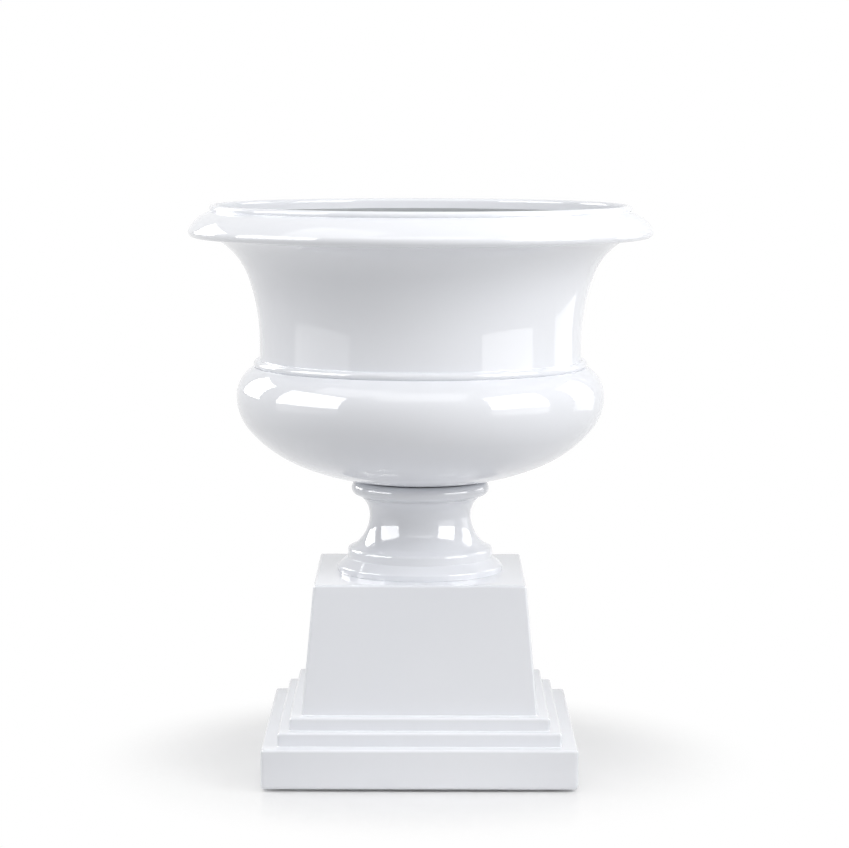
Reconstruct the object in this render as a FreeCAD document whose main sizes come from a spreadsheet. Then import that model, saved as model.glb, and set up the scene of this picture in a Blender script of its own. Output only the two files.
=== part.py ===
import FreeCAD, Part
import os
import re
from math import atan2, pi
import Sketcher

# A classical urn planter on a square plinth, in millimetres, +Z up.
# The origin is on the floor, on the axis of the urn.
# The urn is a set of hollow turned shells; the plinth is one hollow square moulding.

sizes = {
    # rubber floor pads
    "pad_height": 3.0,
    "pad_radius": 12.0,
    "pad_from_edge": 32.0,
    "pad_web": 1.0,
    "pad_recess_gap": 0.6,
    # plinth moulding: slab, two steps, tapered die
    "slab_width": 410.0,
    "slab_height": 52.0,
    "slab_rounding": 5.0,
    "lower_step_setback": 20.5,
    "lower_step_height": 18.0,
    "upper_step_setback": 15.0,
    "upper_step_height": 17.0,
    "die_setback": 15.5,
    "die_height": 169.0,
    "die_slope": 5.1,
    "edge_rounding": 3.5,
    "plinth_wall": 5.0,
    "flange_width": 45.0,
    # timber and panels inside the plinth
    "top_board_thickness": 12.0,
    "board_gap": 1.0,
    "block_width": 60.0,
    "block_height": 30.0,
    "panel_thickness": 4.0,
    "panel_gap": 1.0,
    "panel_drain_radius": 20.0,
    "top_drain_radius": 30.0,
    "bond_gap": 0.3,
    # ring that locates the foot
    "locating_radius": 58.0,
    "locating_bore": 35.0,
    "locating_height": 16.0,
    "locating_chamfer": 3.0,
    "locating_clearance": 2.0,
    "locating_screw_circle": 46.0,
    # screws
    "screw_radius": 2.2,
    "screw_head_radius": 4.4,
    "screw_head_height": 2.4,
    "pan_head_height": 1.6,
    "locating_screw_length": 28.0,
    "pad_screw_length": 24.0,
    "panel_screw_length": 18.0,
    "panel_screw_from_edge": 12.0,
    "screw_gap": 0.1,
    # foot: two plates, flare, cove, collar
    "lower_plate_height": 7.8,
    "plate_projection": 13.6,
    "plate_slope": 10.7,
    "plate_rounding": 2.5,
    "upper_plate_height": 9.2,
    "flare_rounding": 5.0,
    "flare_lip": 5.1,
    "flare_radius": 21.2,
    "flare_angle": 66.0,
    "cove_radius": 51.7,
    "cove_angle": 45.0,
    "throat_radius": 68.0,
    "neck_cove_height": 23.2,
    "neck_cove_depth": 10.0,
    "fillet_height": 3.8,
    "collar_overhang": 4.7,
    "collar_roll": 9.5,
    "foot_wall": 6.0,
    "foot_ring_height": 4.0,
    "web_drop": 3.5,
    # drain and clamp between bowl and foot
    "gasket_thickness": 2.0,
    "gasket_radius": 44.0,
    "drain_bore": 9.5,
    "stem_radius": 13.2,
    "stem_clearance": 0.3,
    "drain_flange_radius": 30.0,
    "drain_flange_height": 4.0,
    "drain_flange_rounding": 1.5,
    "drain_stem_length": 38.0,
    "seal_radius": 27.0,
    "clamp_washer_radius": 28.0,
    "clamp_washer_thickness": 2.0,
    "nut_width": 40.0,
    "nut_height": 9.0,
    # bowl: flat bottom, three arcs, shoulder, lap collar
    "bowl_flat_radius": 46.0,
    "bottom_arc_radius": 298.7,
    "bottom_arc_angle": 65.5,
    "belly_arc_radius": 174.7,
    "belly_arc_angle": 41.0,
    "side_arc_radius": 68.5,
    "shoulder_radius": 45.6,
    "shoulder_rise": 39.4,
    "bowl_wall": 5.0,
    "lap_height": 24.0,
    # waist bead and bell
    "bead_step": 2.5,
    "bead_radius": 5.5,
    "bead_drop": 4.3,
    "crease_depth": 2.4,
    "waist_straight": 24.5,
    "bell_radius": 254.8,
    "bell_angle": 20.2,
    "bell_flare_radius": 90.4,
    "bell_flare_angle": 61.5,
    "bell_wall": 5.0,
    # rolled rim
    "soffit_width": 29.2,
    "soffit_rise": 2.5,
    "nose_radius": 7.9,
    "nose_angle": 28.5,
    "ovolo_radius": 48.6,
    "ovolo_angle": 74.0,
    "mouth_bead_radius": 4.3,
    "mouth_bead_rise": 3.7,
    "mouth_lip_height": 10.0,
    # bung and pull ring
    "bung_clearance": 0.3,
    "bung_length": 15.0,
    "bung_head_radius": 15.0,
    "bung_head_height": 4.0,
    "bung_rounding": 1.0,
    "bung_taper": 0.8,
    "lug_width": 8.0,
    "lug_thickness": 4.0,
    "ring_radius": 13.0,
    "ring_wire_radius": 1.3,
    "ring_clearance": 0.3,
}

# Levels and radii that follow from the sizes above.
derived = {
    # plinth, from the floor up
    "slab_half": "slab_width / 2",
    "slab_base": "pad_height",
    "flange_top": "slab_base + plinth_wall",
    "slab_top": "slab_base + slab_height",
    "lower_step_half": "slab_half - lower_step_setback",
    "lower_step_top": "slab_top + lower_step_height",
    "upper_step_half": "lower_step_half - upper_step_setback",
    "upper_step_top": "lower_step_top + upper_step_height",
    "die_foot_half": "upper_step_half - die_setback",
    "die_inset": "die_height * tan(die_slope)",
    "die_top_half": "die_foot_half - die_inset",
    "plinth_top": "upper_step_top + die_height",
    "flange_opening_half": "slab_half - flange_width",
    "panel_half": "flange_opening_half - panel_gap",
    "panel_base": "flange_top - panel_thickness",
    "block_outer": "slab_half - plinth_wall",
    "pad_place": "slab_half - pad_from_edge",
    "panel_screw_place": "panel_half - panel_screw_from_edge",
    "board_top": "plinth_top - plinth_wall",
    "board_base": "board_top - top_board_thickness",
    "wall_lean": "plinth_wall / cos(die_slope)",
    "board_top_half": "die_top_half + plinth_wall * tan(die_slope) - wall_lean - board_gap",
    "board_base_half": "board_top_half + top_board_thickness * tan(die_slope)",
    "locating_top": "plinth_top + locating_height",
    "foot_ring_bore": "locating_radius + locating_clearance",
    # foot, from the throat outwards and down to the plinth
    "cove_end_r": "throat_radius + cove_radius * (1 - cos(cove_angle))",
    "cove_drop": "cove_radius * sin(cove_angle)",
    "flare_end_r": "cove_end_r + flare_radius * (cos(cove_angle) - cos(flare_angle))",
    "flare_drop": "flare_radius * (sin(flare_angle) - sin(cove_angle))",
    "lip_end_r": "flare_end_r + flare_lip * sin(flare_angle)",
    "lip_drop": "flare_lip * cos(flare_angle)",
    "upper_plate_radius": "lip_end_r + flare_rounding * (1 - cos(flare_angle))",
    "rounding_drop": "flare_rounding * sin(flare_angle)",
    "lower_plate_radius": "upper_plate_radius + plate_projection",
    "plate_angle": "atan(plate_projection / plate_slope)",
    "plate_turn": "tan(plate_angle / 2)",
    "plate_bevel": "plate_rounding * plate_turn",
    "lower_plate_top": "plinth_top + lower_plate_height",
    "plate_round_r": "lower_plate_radius - plate_bevel * sin(plate_angle)",
    "plate_round_z": "lower_plate_top + plate_bevel * cos(plate_angle)",
    "upper_plate_base": "lower_plate_top + plate_slope",
    "upper_plate_top": "upper_plate_base + upper_plate_height",
    "lip_end_z": "upper_plate_top + rounding_drop",
    "flare_end_z": "lip_end_z + lip_drop",
    "cove_end_z": "flare_end_z + flare_drop",
    "throat_z": "cove_end_z + cove_drop",
    "fillet_radius": "throat_radius + neck_cove_depth",
    "fillet_base": "throat_z + neck_cove_height",
    "collar_base": "fillet_base + fillet_height",
    "collar_centre_r": "fillet_radius + collar_overhang",
    "collar_z": "collar_base + collar_roll",
    "collar_top": "collar_z + collar_roll",
    "web_top": "collar_top - web_drop",
    "web_edge_r": "collar_centre_r - sqrt(collar_roll^2 - (web_top - collar_z)^2)",
    "web_base": "web_top - foot_wall",
    "neck_cove_radius": "(neck_cove_depth^2 + neck_cove_height^2) / (2 * neck_cove_depth)",
    "inner_cove_r": "cove_end_r - foot_wall * cos(cove_angle)",
    "inner_cove_z": "cove_end_z - foot_wall * sin(cove_angle)",
    "inner_flare_r": "flare_end_r - foot_wall * cos(flare_angle)",
    "inner_flare_z": "flare_end_z - foot_wall * sin(flare_angle)",
    # bowl, from its flat bottom out and up
    "bowl_base": "web_top + gasket_thickness",
    "bowl_floor": "bowl_base + bowl_wall",
    "bottom_arc_r": "bowl_flat_radius + bottom_arc_radius * cos(bottom_arc_angle)",
    "bottom_arc_z": "bowl_base + bottom_arc_radius * (1 - sin(bottom_arc_angle))",
    "belly_arc_r": "bottom_arc_r + belly_arc_radius * (cos(belly_arc_angle) - cos(bottom_arc_angle))",
    "belly_arc_z": "bottom_arc_z + belly_arc_radius * (sin(bottom_arc_angle) - sin(belly_arc_angle))",
    "bowl_radius": "belly_arc_r + side_arc_radius * (1 - cos(belly_arc_angle))",
    "bowl_z": "belly_arc_z + side_arc_radius * sin(belly_arc_angle)",
    "joint_z": "bowl_z + shoulder_rise",
    "shoulder_r": "bowl_radius - shoulder_radius + sqrt(shoulder_radius^2 - shoulder_rise^2)",
    "inner_bottom_r": "bottom_arc_r - bowl_wall * cos(bottom_arc_angle)",
    "inner_bottom_z": "bottom_arc_z + bowl_wall * sin(bottom_arc_angle)",
    "inner_belly_r": "belly_arc_r - bowl_wall * cos(belly_arc_angle)",
    "inner_belly_z": "belly_arc_z + bowl_wall * sin(belly_arc_angle)",
    "inner_shoulder_radius": "shoulder_radius - bowl_wall",
    "inner_shoulder_z": "joint_z - bowl_wall",
    "inner_shoulder_rise": "inner_shoulder_z - bowl_z",
    "shoulder_centre_r": "bowl_radius - shoulder_radius",
    "inner_shoulder_r": "shoulder_centre_r + sqrt(inner_shoulder_radius^2 - inner_shoulder_rise^2)",
    # waist and bell, from the joint up
    "bead_under_r": "shoulder_r - crease_depth",
    "bead_centre_r": "bead_under_r - sqrt(bead_radius^2 - bead_drop^2)",
    "bead_z": "joint_z + bead_drop",
    "waist_radius": "bead_centre_r - bead_step",
    "bead_top_z": "bead_z + sqrt(bead_radius^2 - bead_step^2)",
    "waist_z": "bead_top_z + waist_straight",
    "bell_arc_r": "waist_radius + bell_radius * (1 - cos(bell_angle))",
    "bell_arc_z": "waist_z + bell_radius * sin(bell_angle)",
    "bell_top_r": "bell_arc_r + bell_flare_radius * (cos(bell_angle) - cos(bell_flare_angle))",
    "bell_top_z": "bell_arc_z + bell_flare_radius * (sin(bell_flare_angle) - sin(bell_angle))",
    "inner_waist_r": "waist_radius - bell_wall",
    "inner_bell_r": "bell_arc_r - bell_wall * cos(bell_angle)",
    "inner_bell_z": "bell_arc_z + bell_wall * sin(bell_angle)",
    "inner_top_r": "bell_top_r - bell_wall * cos(bell_flare_angle)",
    "inner_top_z": "bell_top_z + bell_wall * sin(bell_flare_angle)",
    "lap_outer_r": "inner_waist_r - bond_gap",
    "lap_inner_r": "lap_outer_r - bowl_wall",
    "lap_top": "joint_z + lap_height",
    # rim, from the soffit out and up to the mouth
    "nose_r": "bell_top_r + soffit_width",
    "soffit_z": "bell_top_z + soffit_rise",
    "nose_z": "soffit_z + nose_radius",
    "rim_radius": "nose_r + nose_radius",
    "nose_end_r": "nose_r + nose_radius * cos(nose_angle)",
    "nose_end_z": "nose_z + nose_radius * sin(nose_angle)",
    "groove_r": "nose_end_r - ovolo_radius * (cos(nose_angle) - cos(ovolo_angle))",
    "groove_z": "nose_end_z + ovolo_radius * (sin(ovolo_angle) - sin(nose_angle))",
    "mouth_bead_z": "groove_z + mouth_bead_rise",
    "mouth_bead_r": "groove_r - sqrt(mouth_bead_radius^2 - mouth_bead_rise^2)",
    "mouth_z": "mouth_bead_z + mouth_bead_radius",
    "mouth_radius": "mouth_bead_r - mouth_bead_radius",
    "lip_base": "mouth_bead_z - mouth_lip_height",
    "inner_nose_radius": "nose_radius - bell_wall",
    "inner_nose_end_r": "nose_r + inner_nose_radius * cos(nose_angle)",
    "inner_nose_end_z": "nose_z + inner_nose_radius * sin(nose_angle)",
    "inner_ovolo_radius": "ovolo_radius - bell_wall",
    "ovolo_centre_r": "nose_end_r - ovolo_radius * cos(nose_angle)",
    "ovolo_centre_z": "nose_end_z - ovolo_radius * sin(nose_angle)",
    "shelf_r": "ovolo_centre_r + sqrt(inner_ovolo_radius^2 - (lip_base - ovolo_centre_z)^2)",
    # screws, drain and bung
    "screw_hole": "screw_radius + screw_gap",
    "seal_top": "bowl_floor + gasket_thickness",
    "drain_flange_top": "seal_top + drain_flange_height",
    "stem_end": "seal_top - drain_stem_length",
    "stem_hole": "stem_radius + stem_clearance",
    "washer_base": "web_base - clamp_washer_thickness",
    "nut_base": "washer_base - nut_height",
    "bung_radius": "drain_bore - bung_clearance",
    "bung_base": "drain_flange_top - bung_length",
    "bung_top": "drain_flange_top + bung_head_height",
    "lug_hole": "ring_wire_radius + ring_clearance",
    "ring_z": "bung_top + lug_hole + ring_clearance",
}

V = FreeCAD.Vector
document = FreeCAD.newDocument("urn_planter")
sheet = document.addObject("Spreadsheet::Sheet", "sizes")
for row, (name, value) in enumerate(sizes.items(), start=1):
    sheet.set(f"A{row}", name)
    sheet.set(f"B{row}", str(value))
    sheet.setAlias(f"B{row}", name)
for row, (name, formula) in enumerate(derived.items(), start=1):
    sheet.set(f"D{row}", name)
    sheet.set(f"E{row}", "=" + formula)
    sheet.setAlias(f"E{row}", name)
document.recompute()

names = set(sizes) | set(derived)
parts = []
# Points closer than this count as one.
tolerance = 0.01
# A chord this close to the diameter makes its arc a half circle.
half_circle = 0.9995


def bound(expression):
    """The expression with each size's name pointing at the sheet."""
    return re.sub(r"[a-z_]+", lambda word: "sizes." * (word[0] in names) + word[0], str(expression))


def value(expression):
    """The number that an expression has now."""
    result = sheet.evalExpression(bound(expression))
    return float(getattr(result, "Value", result))


def bind(thing, field, expression):
    """Set a field to an expression of the sizes."""
    thing.setExpression(field, bound(expression))


def new_body(label):
    """A piece of the object, under the name that its file takes."""
    body = document.addObject("PartDesign::Body", label)
    body.Label = label
    parts.append(body)
    return body


def origin(body, role):
    """One of the body's own origin planes or axes."""
    return next(item for item in body.Origin.OriginFeatures if item.Role == role)


def new_sketch(body, name, role, along="0", up="0"):
    """A sketch on an origin plane, moved sideways and off the plane."""
    sketch = body.newObject("Sketcher::SketchObject", name)
    sketch.AttachmentSupport = [(origin(body, role), "")]
    sketch.MapMode = "FlatFace"
    bind(sketch, "AttachmentOffset.Base.x", along)
    bind(sketch, "AttachmentOffset.Base.z", up)
    return sketch


def place(sketch, curve, point, across, up):
    """Hold a point of a sketch at its two coordinates."""
    for kind, axis, expression in (("DistanceX", -2, across), ("DistanceY", -1, up)):
        if str(expression) == "0":
            sketch.addConstraint(Sketcher.Constraint("PointOnObject", curve, point, axis))
            continue
        here = value(expression)
        index = sketch.addConstraint(Sketcher.Constraint(kind, -1, 1, curve, point, here))
        bind(sketch, f"Constraints[{index}]", expression)


def chord_is_short(arc):
    """Whether an arc is clear of a half circle, whose ends alone already give its radius."""
    return (arc.StartPoint - arc.EndPoint).Length < half_circle * 2 * arc.Radius


def draw(sketch, start, steps):
    """A closed outline: straight steps (r, z) and round ones (r, z, radius, side).

    side is 1 where the centre lies to the left of the way from the last point to the
    next, and -1 where it lies to the right."""
    corners = [start] + [step[:2] for step in steps]
    points = [V(value(r), value(z), 0) for r, z in corners]
    for index, step in enumerate(steps):
        first = points[index]
        last = points[(index + 1) % len(steps)]
        if len(step) == 2:
            sketch.addGeometry(Part.LineSegment(first, last), False)
            continue
        radius = value(step[2])
        side = step[3]
        chord = last - first
        left = V(-chord.y, chord.x, 0).normalize()
        depth = max(radius**2 - (chord.Length / 2) ** 2, 0) ** 0.5
        centre = (first + last) * 0.5 + left * (side * depth)
        begin, end = (first, last) if side > 0 else (last, first)
        from_angle = atan2(begin.y - centre.y, begin.x - centre.x)
        to_angle = atan2(end.y - centre.y, end.x - centre.x)
        if to_angle <= from_angle:
            to_angle += 2 * pi
        circle = Part.Circle(centre, V(0, 0, 1), radius)
        sketch.addGeometry(Part.ArcOfCircle(circle, from_angle, to_angle), False)
    count = len(steps)
    begins = [(2, 1) if len(step) == 4 and step[3] < 0 else (1, 2) for step in steps]
    for index, step in enumerate(steps):
        if len(step) == 4 and chord_is_short(sketch.Geometry[index]):
            mark = sketch.addConstraint(Sketcher.Constraint("Radius", index, value(step[2])))
            bind(sketch, f"Constraints[{mark}]", step[2])
    for index in range(count):
        following = (index + 1) % count
        ends = (index, begins[index][1], following, begins[following][0])
        sketch.addConstraint(Sketcher.Constraint("Coincident", *ends))
        place(sketch, index, begins[index][0], *corners[index])


def turned(body, name, start, steps, along="0", cut=False):
    """A solid of revolution, or a cut of one, about an upright axis."""
    sketch = new_sketch(body, name + "_outline", "XZ_Plane", along)
    draw(sketch, start, steps)
    kind = "PartDesign::Groove" if cut else "PartDesign::Revolution"
    feature = body.newObject(kind, name)
    feature.Profile = sketch
    feature.ReferenceAxis = (sketch, ["V_Axis"])
    feature.Angle = 360
    return feature


def ring(body, name, inner, outer, base, top, along="0", cut=False):
    """A flat ring or, with no inner radius, a disc."""
    steps = [(outer, base), (outer, top), (inner, top), (inner, base)]
    return turned(body, name, (inner, base), steps, along, cut)


def square(sketch, half):
    """A square centred on the sketch."""
    low = f"-({half})"
    draw(sketch, (low, low), [(half, low), (half, half), (low, half), (low, low)])


def prism(body, name, half, base, height, cut=False):
    """A square block, or a cut of one, from its base up."""
    sketch = new_sketch(body, name + "_outline", "XY_Plane", up=base)
    square(sketch, half)
    feature = body.newObject("PartDesign::Pocket" if cut else "PartDesign::Pad", name)
    feature.Profile = sketch
    bind(feature, "Length", height)
    feature.Reversed = cut
    return feature


def taper(body, name, low_half, low_z, high_half, high_z, cut=False):
    """A square block, or a cut of one, that narrows upwards."""
    low = new_sketch(body, name + "_low", "XY_Plane", up=low_z)
    square(low, low_half)
    high = new_sketch(body, name + "_high", "XY_Plane", up=high_z)
    square(high, high_half)
    kind = "PartDesign::SubtractiveLoft" if cut else "PartDesign::AdditiveLoft"
    feature = body.newObject(kind, name)
    feature.Profile = low
    feature.Sections = [high]
    feature.Ruled = True
    return feature


def drill(body, name, places, radius, base, height):
    """Round holes at the given places, from their base up."""
    sketch = new_sketch(body, name + "_outline", "XY_Plane", up=base)
    for index, (across, along) in enumerate(places):
        centre = V(value(across), value(along), 0)
        sketch.addGeometry(Part.Circle(centre, V(0, 0, 1), value(radius)), False)
        mark = sketch.addConstraint(Sketcher.Constraint("Radius", index, value(radius)))
        bind(sketch, f"Constraints[{mark}]", radius)
        place(sketch, index, 3, across, along)
    feature = body.newObject("PartDesign::Pocket", name)
    feature.Profile = sketch
    bind(feature, "Length", height)
    feature.Reversed = True
    return feature


def repeat(body, features, count=4):
    """Equal copies of some features round the upright axis."""
    pattern = body.newObject("PartDesign::PolarPattern", features[0].Name + "_round")
    pattern.Originals = features
    pattern.Axis = (origin(body, "Z_Axis"), [""])
    pattern.Angle = 360
    pattern.Occurrences = count
    body.Tip = pattern
    return pattern


def round_edges(body, feature, name, radius, wanted):
    """Round the edges of a feature whose ends satisfy a test."""
    document.recompute()
    chosen = []
    for index, edge in enumerate(feature.Shape.Edges, start=1):
        ends = [vertex.Point for vertex in edge.Vertexes]
        if len(ends) == 2 and wanted(ends):
            chosen.append(f"Edge{index}")
    rounding = body.newObject("PartDesign::Fillet", name)
    rounding.Base = (feature, chosen)
    bind(rounding, "Radius", radius)
    return rounding


def four_corners(distance):
    """The four places at one distance out from both centre lines."""
    back = f"-({distance})"
    return [(distance, distance), (back, distance), (back, back), (distance, back)]


# Plinth moulding

plinth_shell = new_body("plinth_shell")
prism(plinth_shell, "slab", "slab_half", "slab_base", "slab_height")
prism(plinth_shell, "lower_step", "lower_step_half", "slab_top", "lower_step_height")
prism(plinth_shell, "upper_step", "upper_step_half", "lower_step_top", "upper_step_height")
die = taper(plinth_shell, "die", "die_foot_half", "upper_step_top", "die_top_half", "plinth_top")

slab_half = value("slab_half")
slab_base = value("slab_base")
slab_top = value("slab_top")
step_tops = [value(level) for level in ("lower_step_top", "upper_step_top", "plinth_top")]
step_halves = [value(half) for half in ("lower_step_half", "upper_step_half", "die_top_half")]


def level(points, height):
    """Whether an edge lies at one height."""
    return all(abs(point.z - height) < tolerance for point in points)


def out_to(points, half):
    """Whether both ends of an edge lie on the outline of a square."""
    return all(abs(max(abs(point.x), abs(point.y)) - half) < tolerance for point in points)


def out_to_rounded(points):
    """Whether an edge lies on the slab's own outline, with its corners already round."""
    inside = slab_half - value("slab_rounding") - tolerance
    return all(max(abs(point.x), abs(point.y)) > inside for point in points)


def upright(points):
    """Whether an edge runs up a corner of one of the squares."""
    low, high = sorted(points, key=lambda point: point.z)
    diagonal = all(abs(abs(point.x) - abs(point.y)) < tolerance for point in points)
    return diagonal and high.z - low.z > tolerance


def on_slab_corner(points):
    """The slab's upright corners and its lower edges."""
    if level(points, slab_base):
        return True
    return upright(points) and out_to(points, slab_half)


def on_upper_edge(points):
    """The top edges of slab, steps and die, and the upright corners above the slab."""
    if level(points, slab_top):
        return out_to_rounded(points)
    if upright(points):
        return min(point.z for point in points) > slab_top - tolerance
    edges_above = zip(step_tops, step_halves)
    return any(level(points, top) and out_to(points, half) for top, half in edges_above)


corners = round_edges(plinth_shell, die, "slab_corners", "slab_rounding", on_slab_corner)
edges = round_edges(plinth_shell, corners, "upper_edges", "edge_rounding", on_upper_edge)

slab_cavity = "slab_height - 2 * plinth_wall"
prism(plinth_shell, "flange_opening", "flange_opening_half", "slab_base", "plinth_wall", cut=True)
prism(plinth_shell, "slab_cavity", "block_outer", "flange_top", slab_cavity, cut=True)
lower_cavity = "lower_step_half - plinth_wall"
prism(plinth_shell, "lower_cavity", lower_cavity, "slab_top - plinth_wall", "lower_step_height", cut=True)
upper_cavity = "upper_step_half - plinth_wall"
upper_cavity_base = "lower_step_top - plinth_wall"
prism(plinth_shell, "upper_cavity", upper_cavity, upper_cavity_base, "upper_step_height", cut=True)
cavity_foot = "die_foot_half + plinth_wall * tan(die_slope) - wall_lean"
cavity_head = "die_top_half + plinth_wall * tan(die_slope) - wall_lean"
die_cavity_base = "upper_step_top - plinth_wall"
taper(plinth_shell, "die_cavity", cavity_foot, die_cavity_base, cavity_head, "board_top", cut=True)
on_axis = [("0", "0")]
drill(plinth_shell, "drain_way", on_axis, "top_drain_radius", "board_top", "plinth_wall")
pad_places = four_corners("pad_place")
drill(plinth_shell, "pad_screw_holes", pad_places, "screw_hole", "slab_base", "plinth_wall")
ring_screws = [("locating_screw_circle", "0")]
holes = drill(plinth_shell, "locating_holes", ring_screws, "screw_hole", "board_top", "plinth_wall")
repeat(plinth_shell, [holes])

# Board under the die's top

top_board = new_body("top_board")
taper(top_board, "board", "board_base_half", "board_base", "board_top_half", "board_top")
board_height = "top_board_thickness"
drill(top_board, "drain_way_in_board", on_axis, "top_drain_radius", "board_base", board_height)
pilot_height = "locating_screw_length - locating_height - plinth_wall + screw_gap"
pilot_base = "board_top - (" + pilot_height + ")"
repeat(top_board, [drill(top_board, "pilot_holes", ring_screws, "screw_hole", pilot_base, pilot_height)])

# Ring that the foot drops over, and its screws

locating_ring = new_body("locating_ring")
steps = [
    ("locating_radius", "plinth_top"),
    ("locating_radius", "locating_top - locating_chamfer"),
    ("locating_radius - locating_chamfer", "locating_top"),
    ("locating_bore", "locating_top"),
    ("locating_bore", "plinth_top"),
]
turned(locating_ring, "ring_body", ("locating_bore", "plinth_top"), steps)
shaft = drill(locating_ring, "shaft_holes", ring_screws, "screw_hole", "plinth_top", "locating_height")
sink_base = "locating_top - screw_head_height"
steps = [
    ("screw_hole", sink_base),
    ("screw_head_radius + screw_gap", "locating_top"),
    ("0", "locating_top"),
    ("0", sink_base),
]
sink = turned(locating_ring, "countersinks", ("0", sink_base), steps, along="locating_screw_circle", cut=True)
repeat(locating_ring, [shaft, sink])

locating_screws = new_body("locating_screws")
tip = "locating_top - locating_screw_length"
steps = [
    ("screw_radius", tip),
    ("screw_radius", sink_base),
    ("screw_head_radius", "locating_top"),
    ("0", "locating_top"),
    ("0", tip),
]
screw = turned(locating_screws, "locating_screw", ("0", tip), steps, along="locating_screw_circle")
repeat(locating_screws, [screw])

# Corner blocks, closing panel, floor pads and their screws

for number in range(4):
    block = new_body(f"corner_block_{number + 1}")
    outline = new_sketch(block, f"block_outline_{number + 1}", "XY_Plane", up="flange_top")
    near = "block_outer - block_width"
    far = "block_outer"
    draw(outline, (near, near), [(far, near), (far, far), (near, far), (near, near)])
    pad = block.newObject("PartDesign::Pad", f"block_{number + 1}")
    pad.Profile = outline
    bind(pad, "Length", "block_height")
    pad_hole = [("pad_place", "pad_place")]
    pad_depth = "pad_height - pad_web + pad_screw_length - flange_top + screw_gap"
    drill(block, f"pad_pilot_{number + 1}", pad_hole, "screw_hole", "flange_top", pad_depth)
    panel_hole = [("panel_screw_place", "panel_screw_place")]
    panel_depth = "panel_screw_length - panel_thickness + screw_gap"
    drill(block, f"panel_pilot_{number + 1}", panel_hole, "screw_hole", "flange_top", panel_depth)
    block.Placement = FreeCAD.Placement(V(0, 0, 0), FreeCAD.Rotation(V(0, 0, 1), 90 * number))

base_panel = new_body("base_panel")
prism(base_panel, "panel", "panel_half", "panel_base", "panel_thickness")
drill(base_panel, "drain_opening", on_axis, "panel_drain_radius", "panel_base", "panel_thickness")
panel_places = four_corners("panel_screw_place")
drill(base_panel, "panel_holes", panel_places, "screw_hole", "panel_base", "panel_thickness")


def pan_screws(label, seat, length, out):
    """Four screws with flat heads, driven upwards on the diagonals."""
    body = new_body(label)
    low = f"{seat} - pan_head_height"
    high = f"{seat} + {length}"
    steps = [
        ("screw_head_radius", low),
        ("screw_head_radius", seat),
        ("screw_radius", seat),
        ("screw_radius", high),
        ("0", high),
        ("0", low),
    ]
    repeat(body, [turned(body, label + "_one", ("0", low), steps, along=f"{out} * sqrt(2)")])
    body.Placement = FreeCAD.Placement(V(0, 0, 0), FreeCAD.Rotation(V(0, 0, 1), 45))


pan_screws("panel_screws", "panel_base", "panel_screw_length", "panel_screw_place")
pan_screws("pad_screws", "pad_height - pad_web", "pad_screw_length", "pad_place")

for number, (across, along) in enumerate(pad_places):
    floor_pad = new_body(f"floor_pad_{number + 1}")
    web = "pad_height - pad_web"
    recess = "screw_head_radius + pad_recess_gap"
    steps = [
        ("pad_radius", "0"),
        ("pad_radius", "pad_height"),
        ("screw_hole", "pad_height"),
        ("screw_hole", web),
        (recess, web),
        (recess, "0"),
    ]
    turned(floor_pad, f"pad_{number + 1}", (recess, "0"), steps)
    bind(floor_pad, "Placement.Base.x", across)
    bind(floor_pad, "Placement.Base.y", along)

# Foot of the urn: plates, flare, cove and collar outside, an even wall inside

urn_foot = new_body("urn_foot")
inner_plate = "lower_plate_radius - foot_wall"
inner_lip = "upper_plate_radius - foot_wall"
inner_lip_z = f"inner_flare_z - ({inner_lip} - inner_flare_r) / tan(flare_angle)"
steps = [
    ("lower_plate_radius", "plinth_top"),
    ("lower_plate_radius", "lower_plate_top - plate_bevel"),
    ("plate_round_r", "plate_round_z", "plate_rounding", 1),
    ("upper_plate_radius", "upper_plate_base"),
    ("upper_plate_radius", "upper_plate_top"),
    ("lip_end_r", "lip_end_z", "flare_rounding", 1),
    ("flare_end_r", "flare_end_z"),
    ("cove_end_r", "cove_end_z", "flare_radius", -1),
    ("throat_radius", "throat_z", "cove_radius", -1),
    ("fillet_radius", "fillet_base", "neck_cove_radius", -1),
    ("fillet_radius", "collar_base"),
    ("collar_centre_r", "collar_base"),
    ("collar_centre_r + collar_roll", "collar_z", "collar_roll", 1),
    ("collar_centre_r", "collar_top", "collar_roll", 1),
    ("web_edge_r", "web_top", "collar_roll", 1),
    ("stem_hole", "web_top"),
    ("stem_hole", "web_base"),
    ("fillet_radius - foot_wall", "web_base"),
    ("fillet_radius - foot_wall", "fillet_base"),
    ("throat_radius - foot_wall", "throat_z", "neck_cove_radius", 1),
    ("inner_cove_r", "inner_cove_z", "cove_radius + foot_wall", 1),
    ("inner_flare_r", "inner_flare_z", "flare_radius + foot_wall", 1),
    (inner_lip, inner_lip_z),
    (inner_lip, "upper_plate_base - foot_wall * plate_turn"),
    (inner_plate, "lower_plate_top - foot_wall * plate_turn"),
    (inner_plate, "plinth_top"),
]
turned(urn_foot, "foot", (inner_plate, "plinth_top"), steps)

foot_ring = new_body("foot_ring")
foot_ring_edge = "lower_plate_radius - foot_wall - bond_gap"
foot_ring_top = "plinth_top + foot_ring_height"
ring(foot_ring, "foot_ring_body", "foot_ring_bore", foot_ring_edge, "plinth_top", foot_ring_top)

# Bowl: flat bottom, three tangent arcs, shoulder, and the lap collar inside the bell

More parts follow.
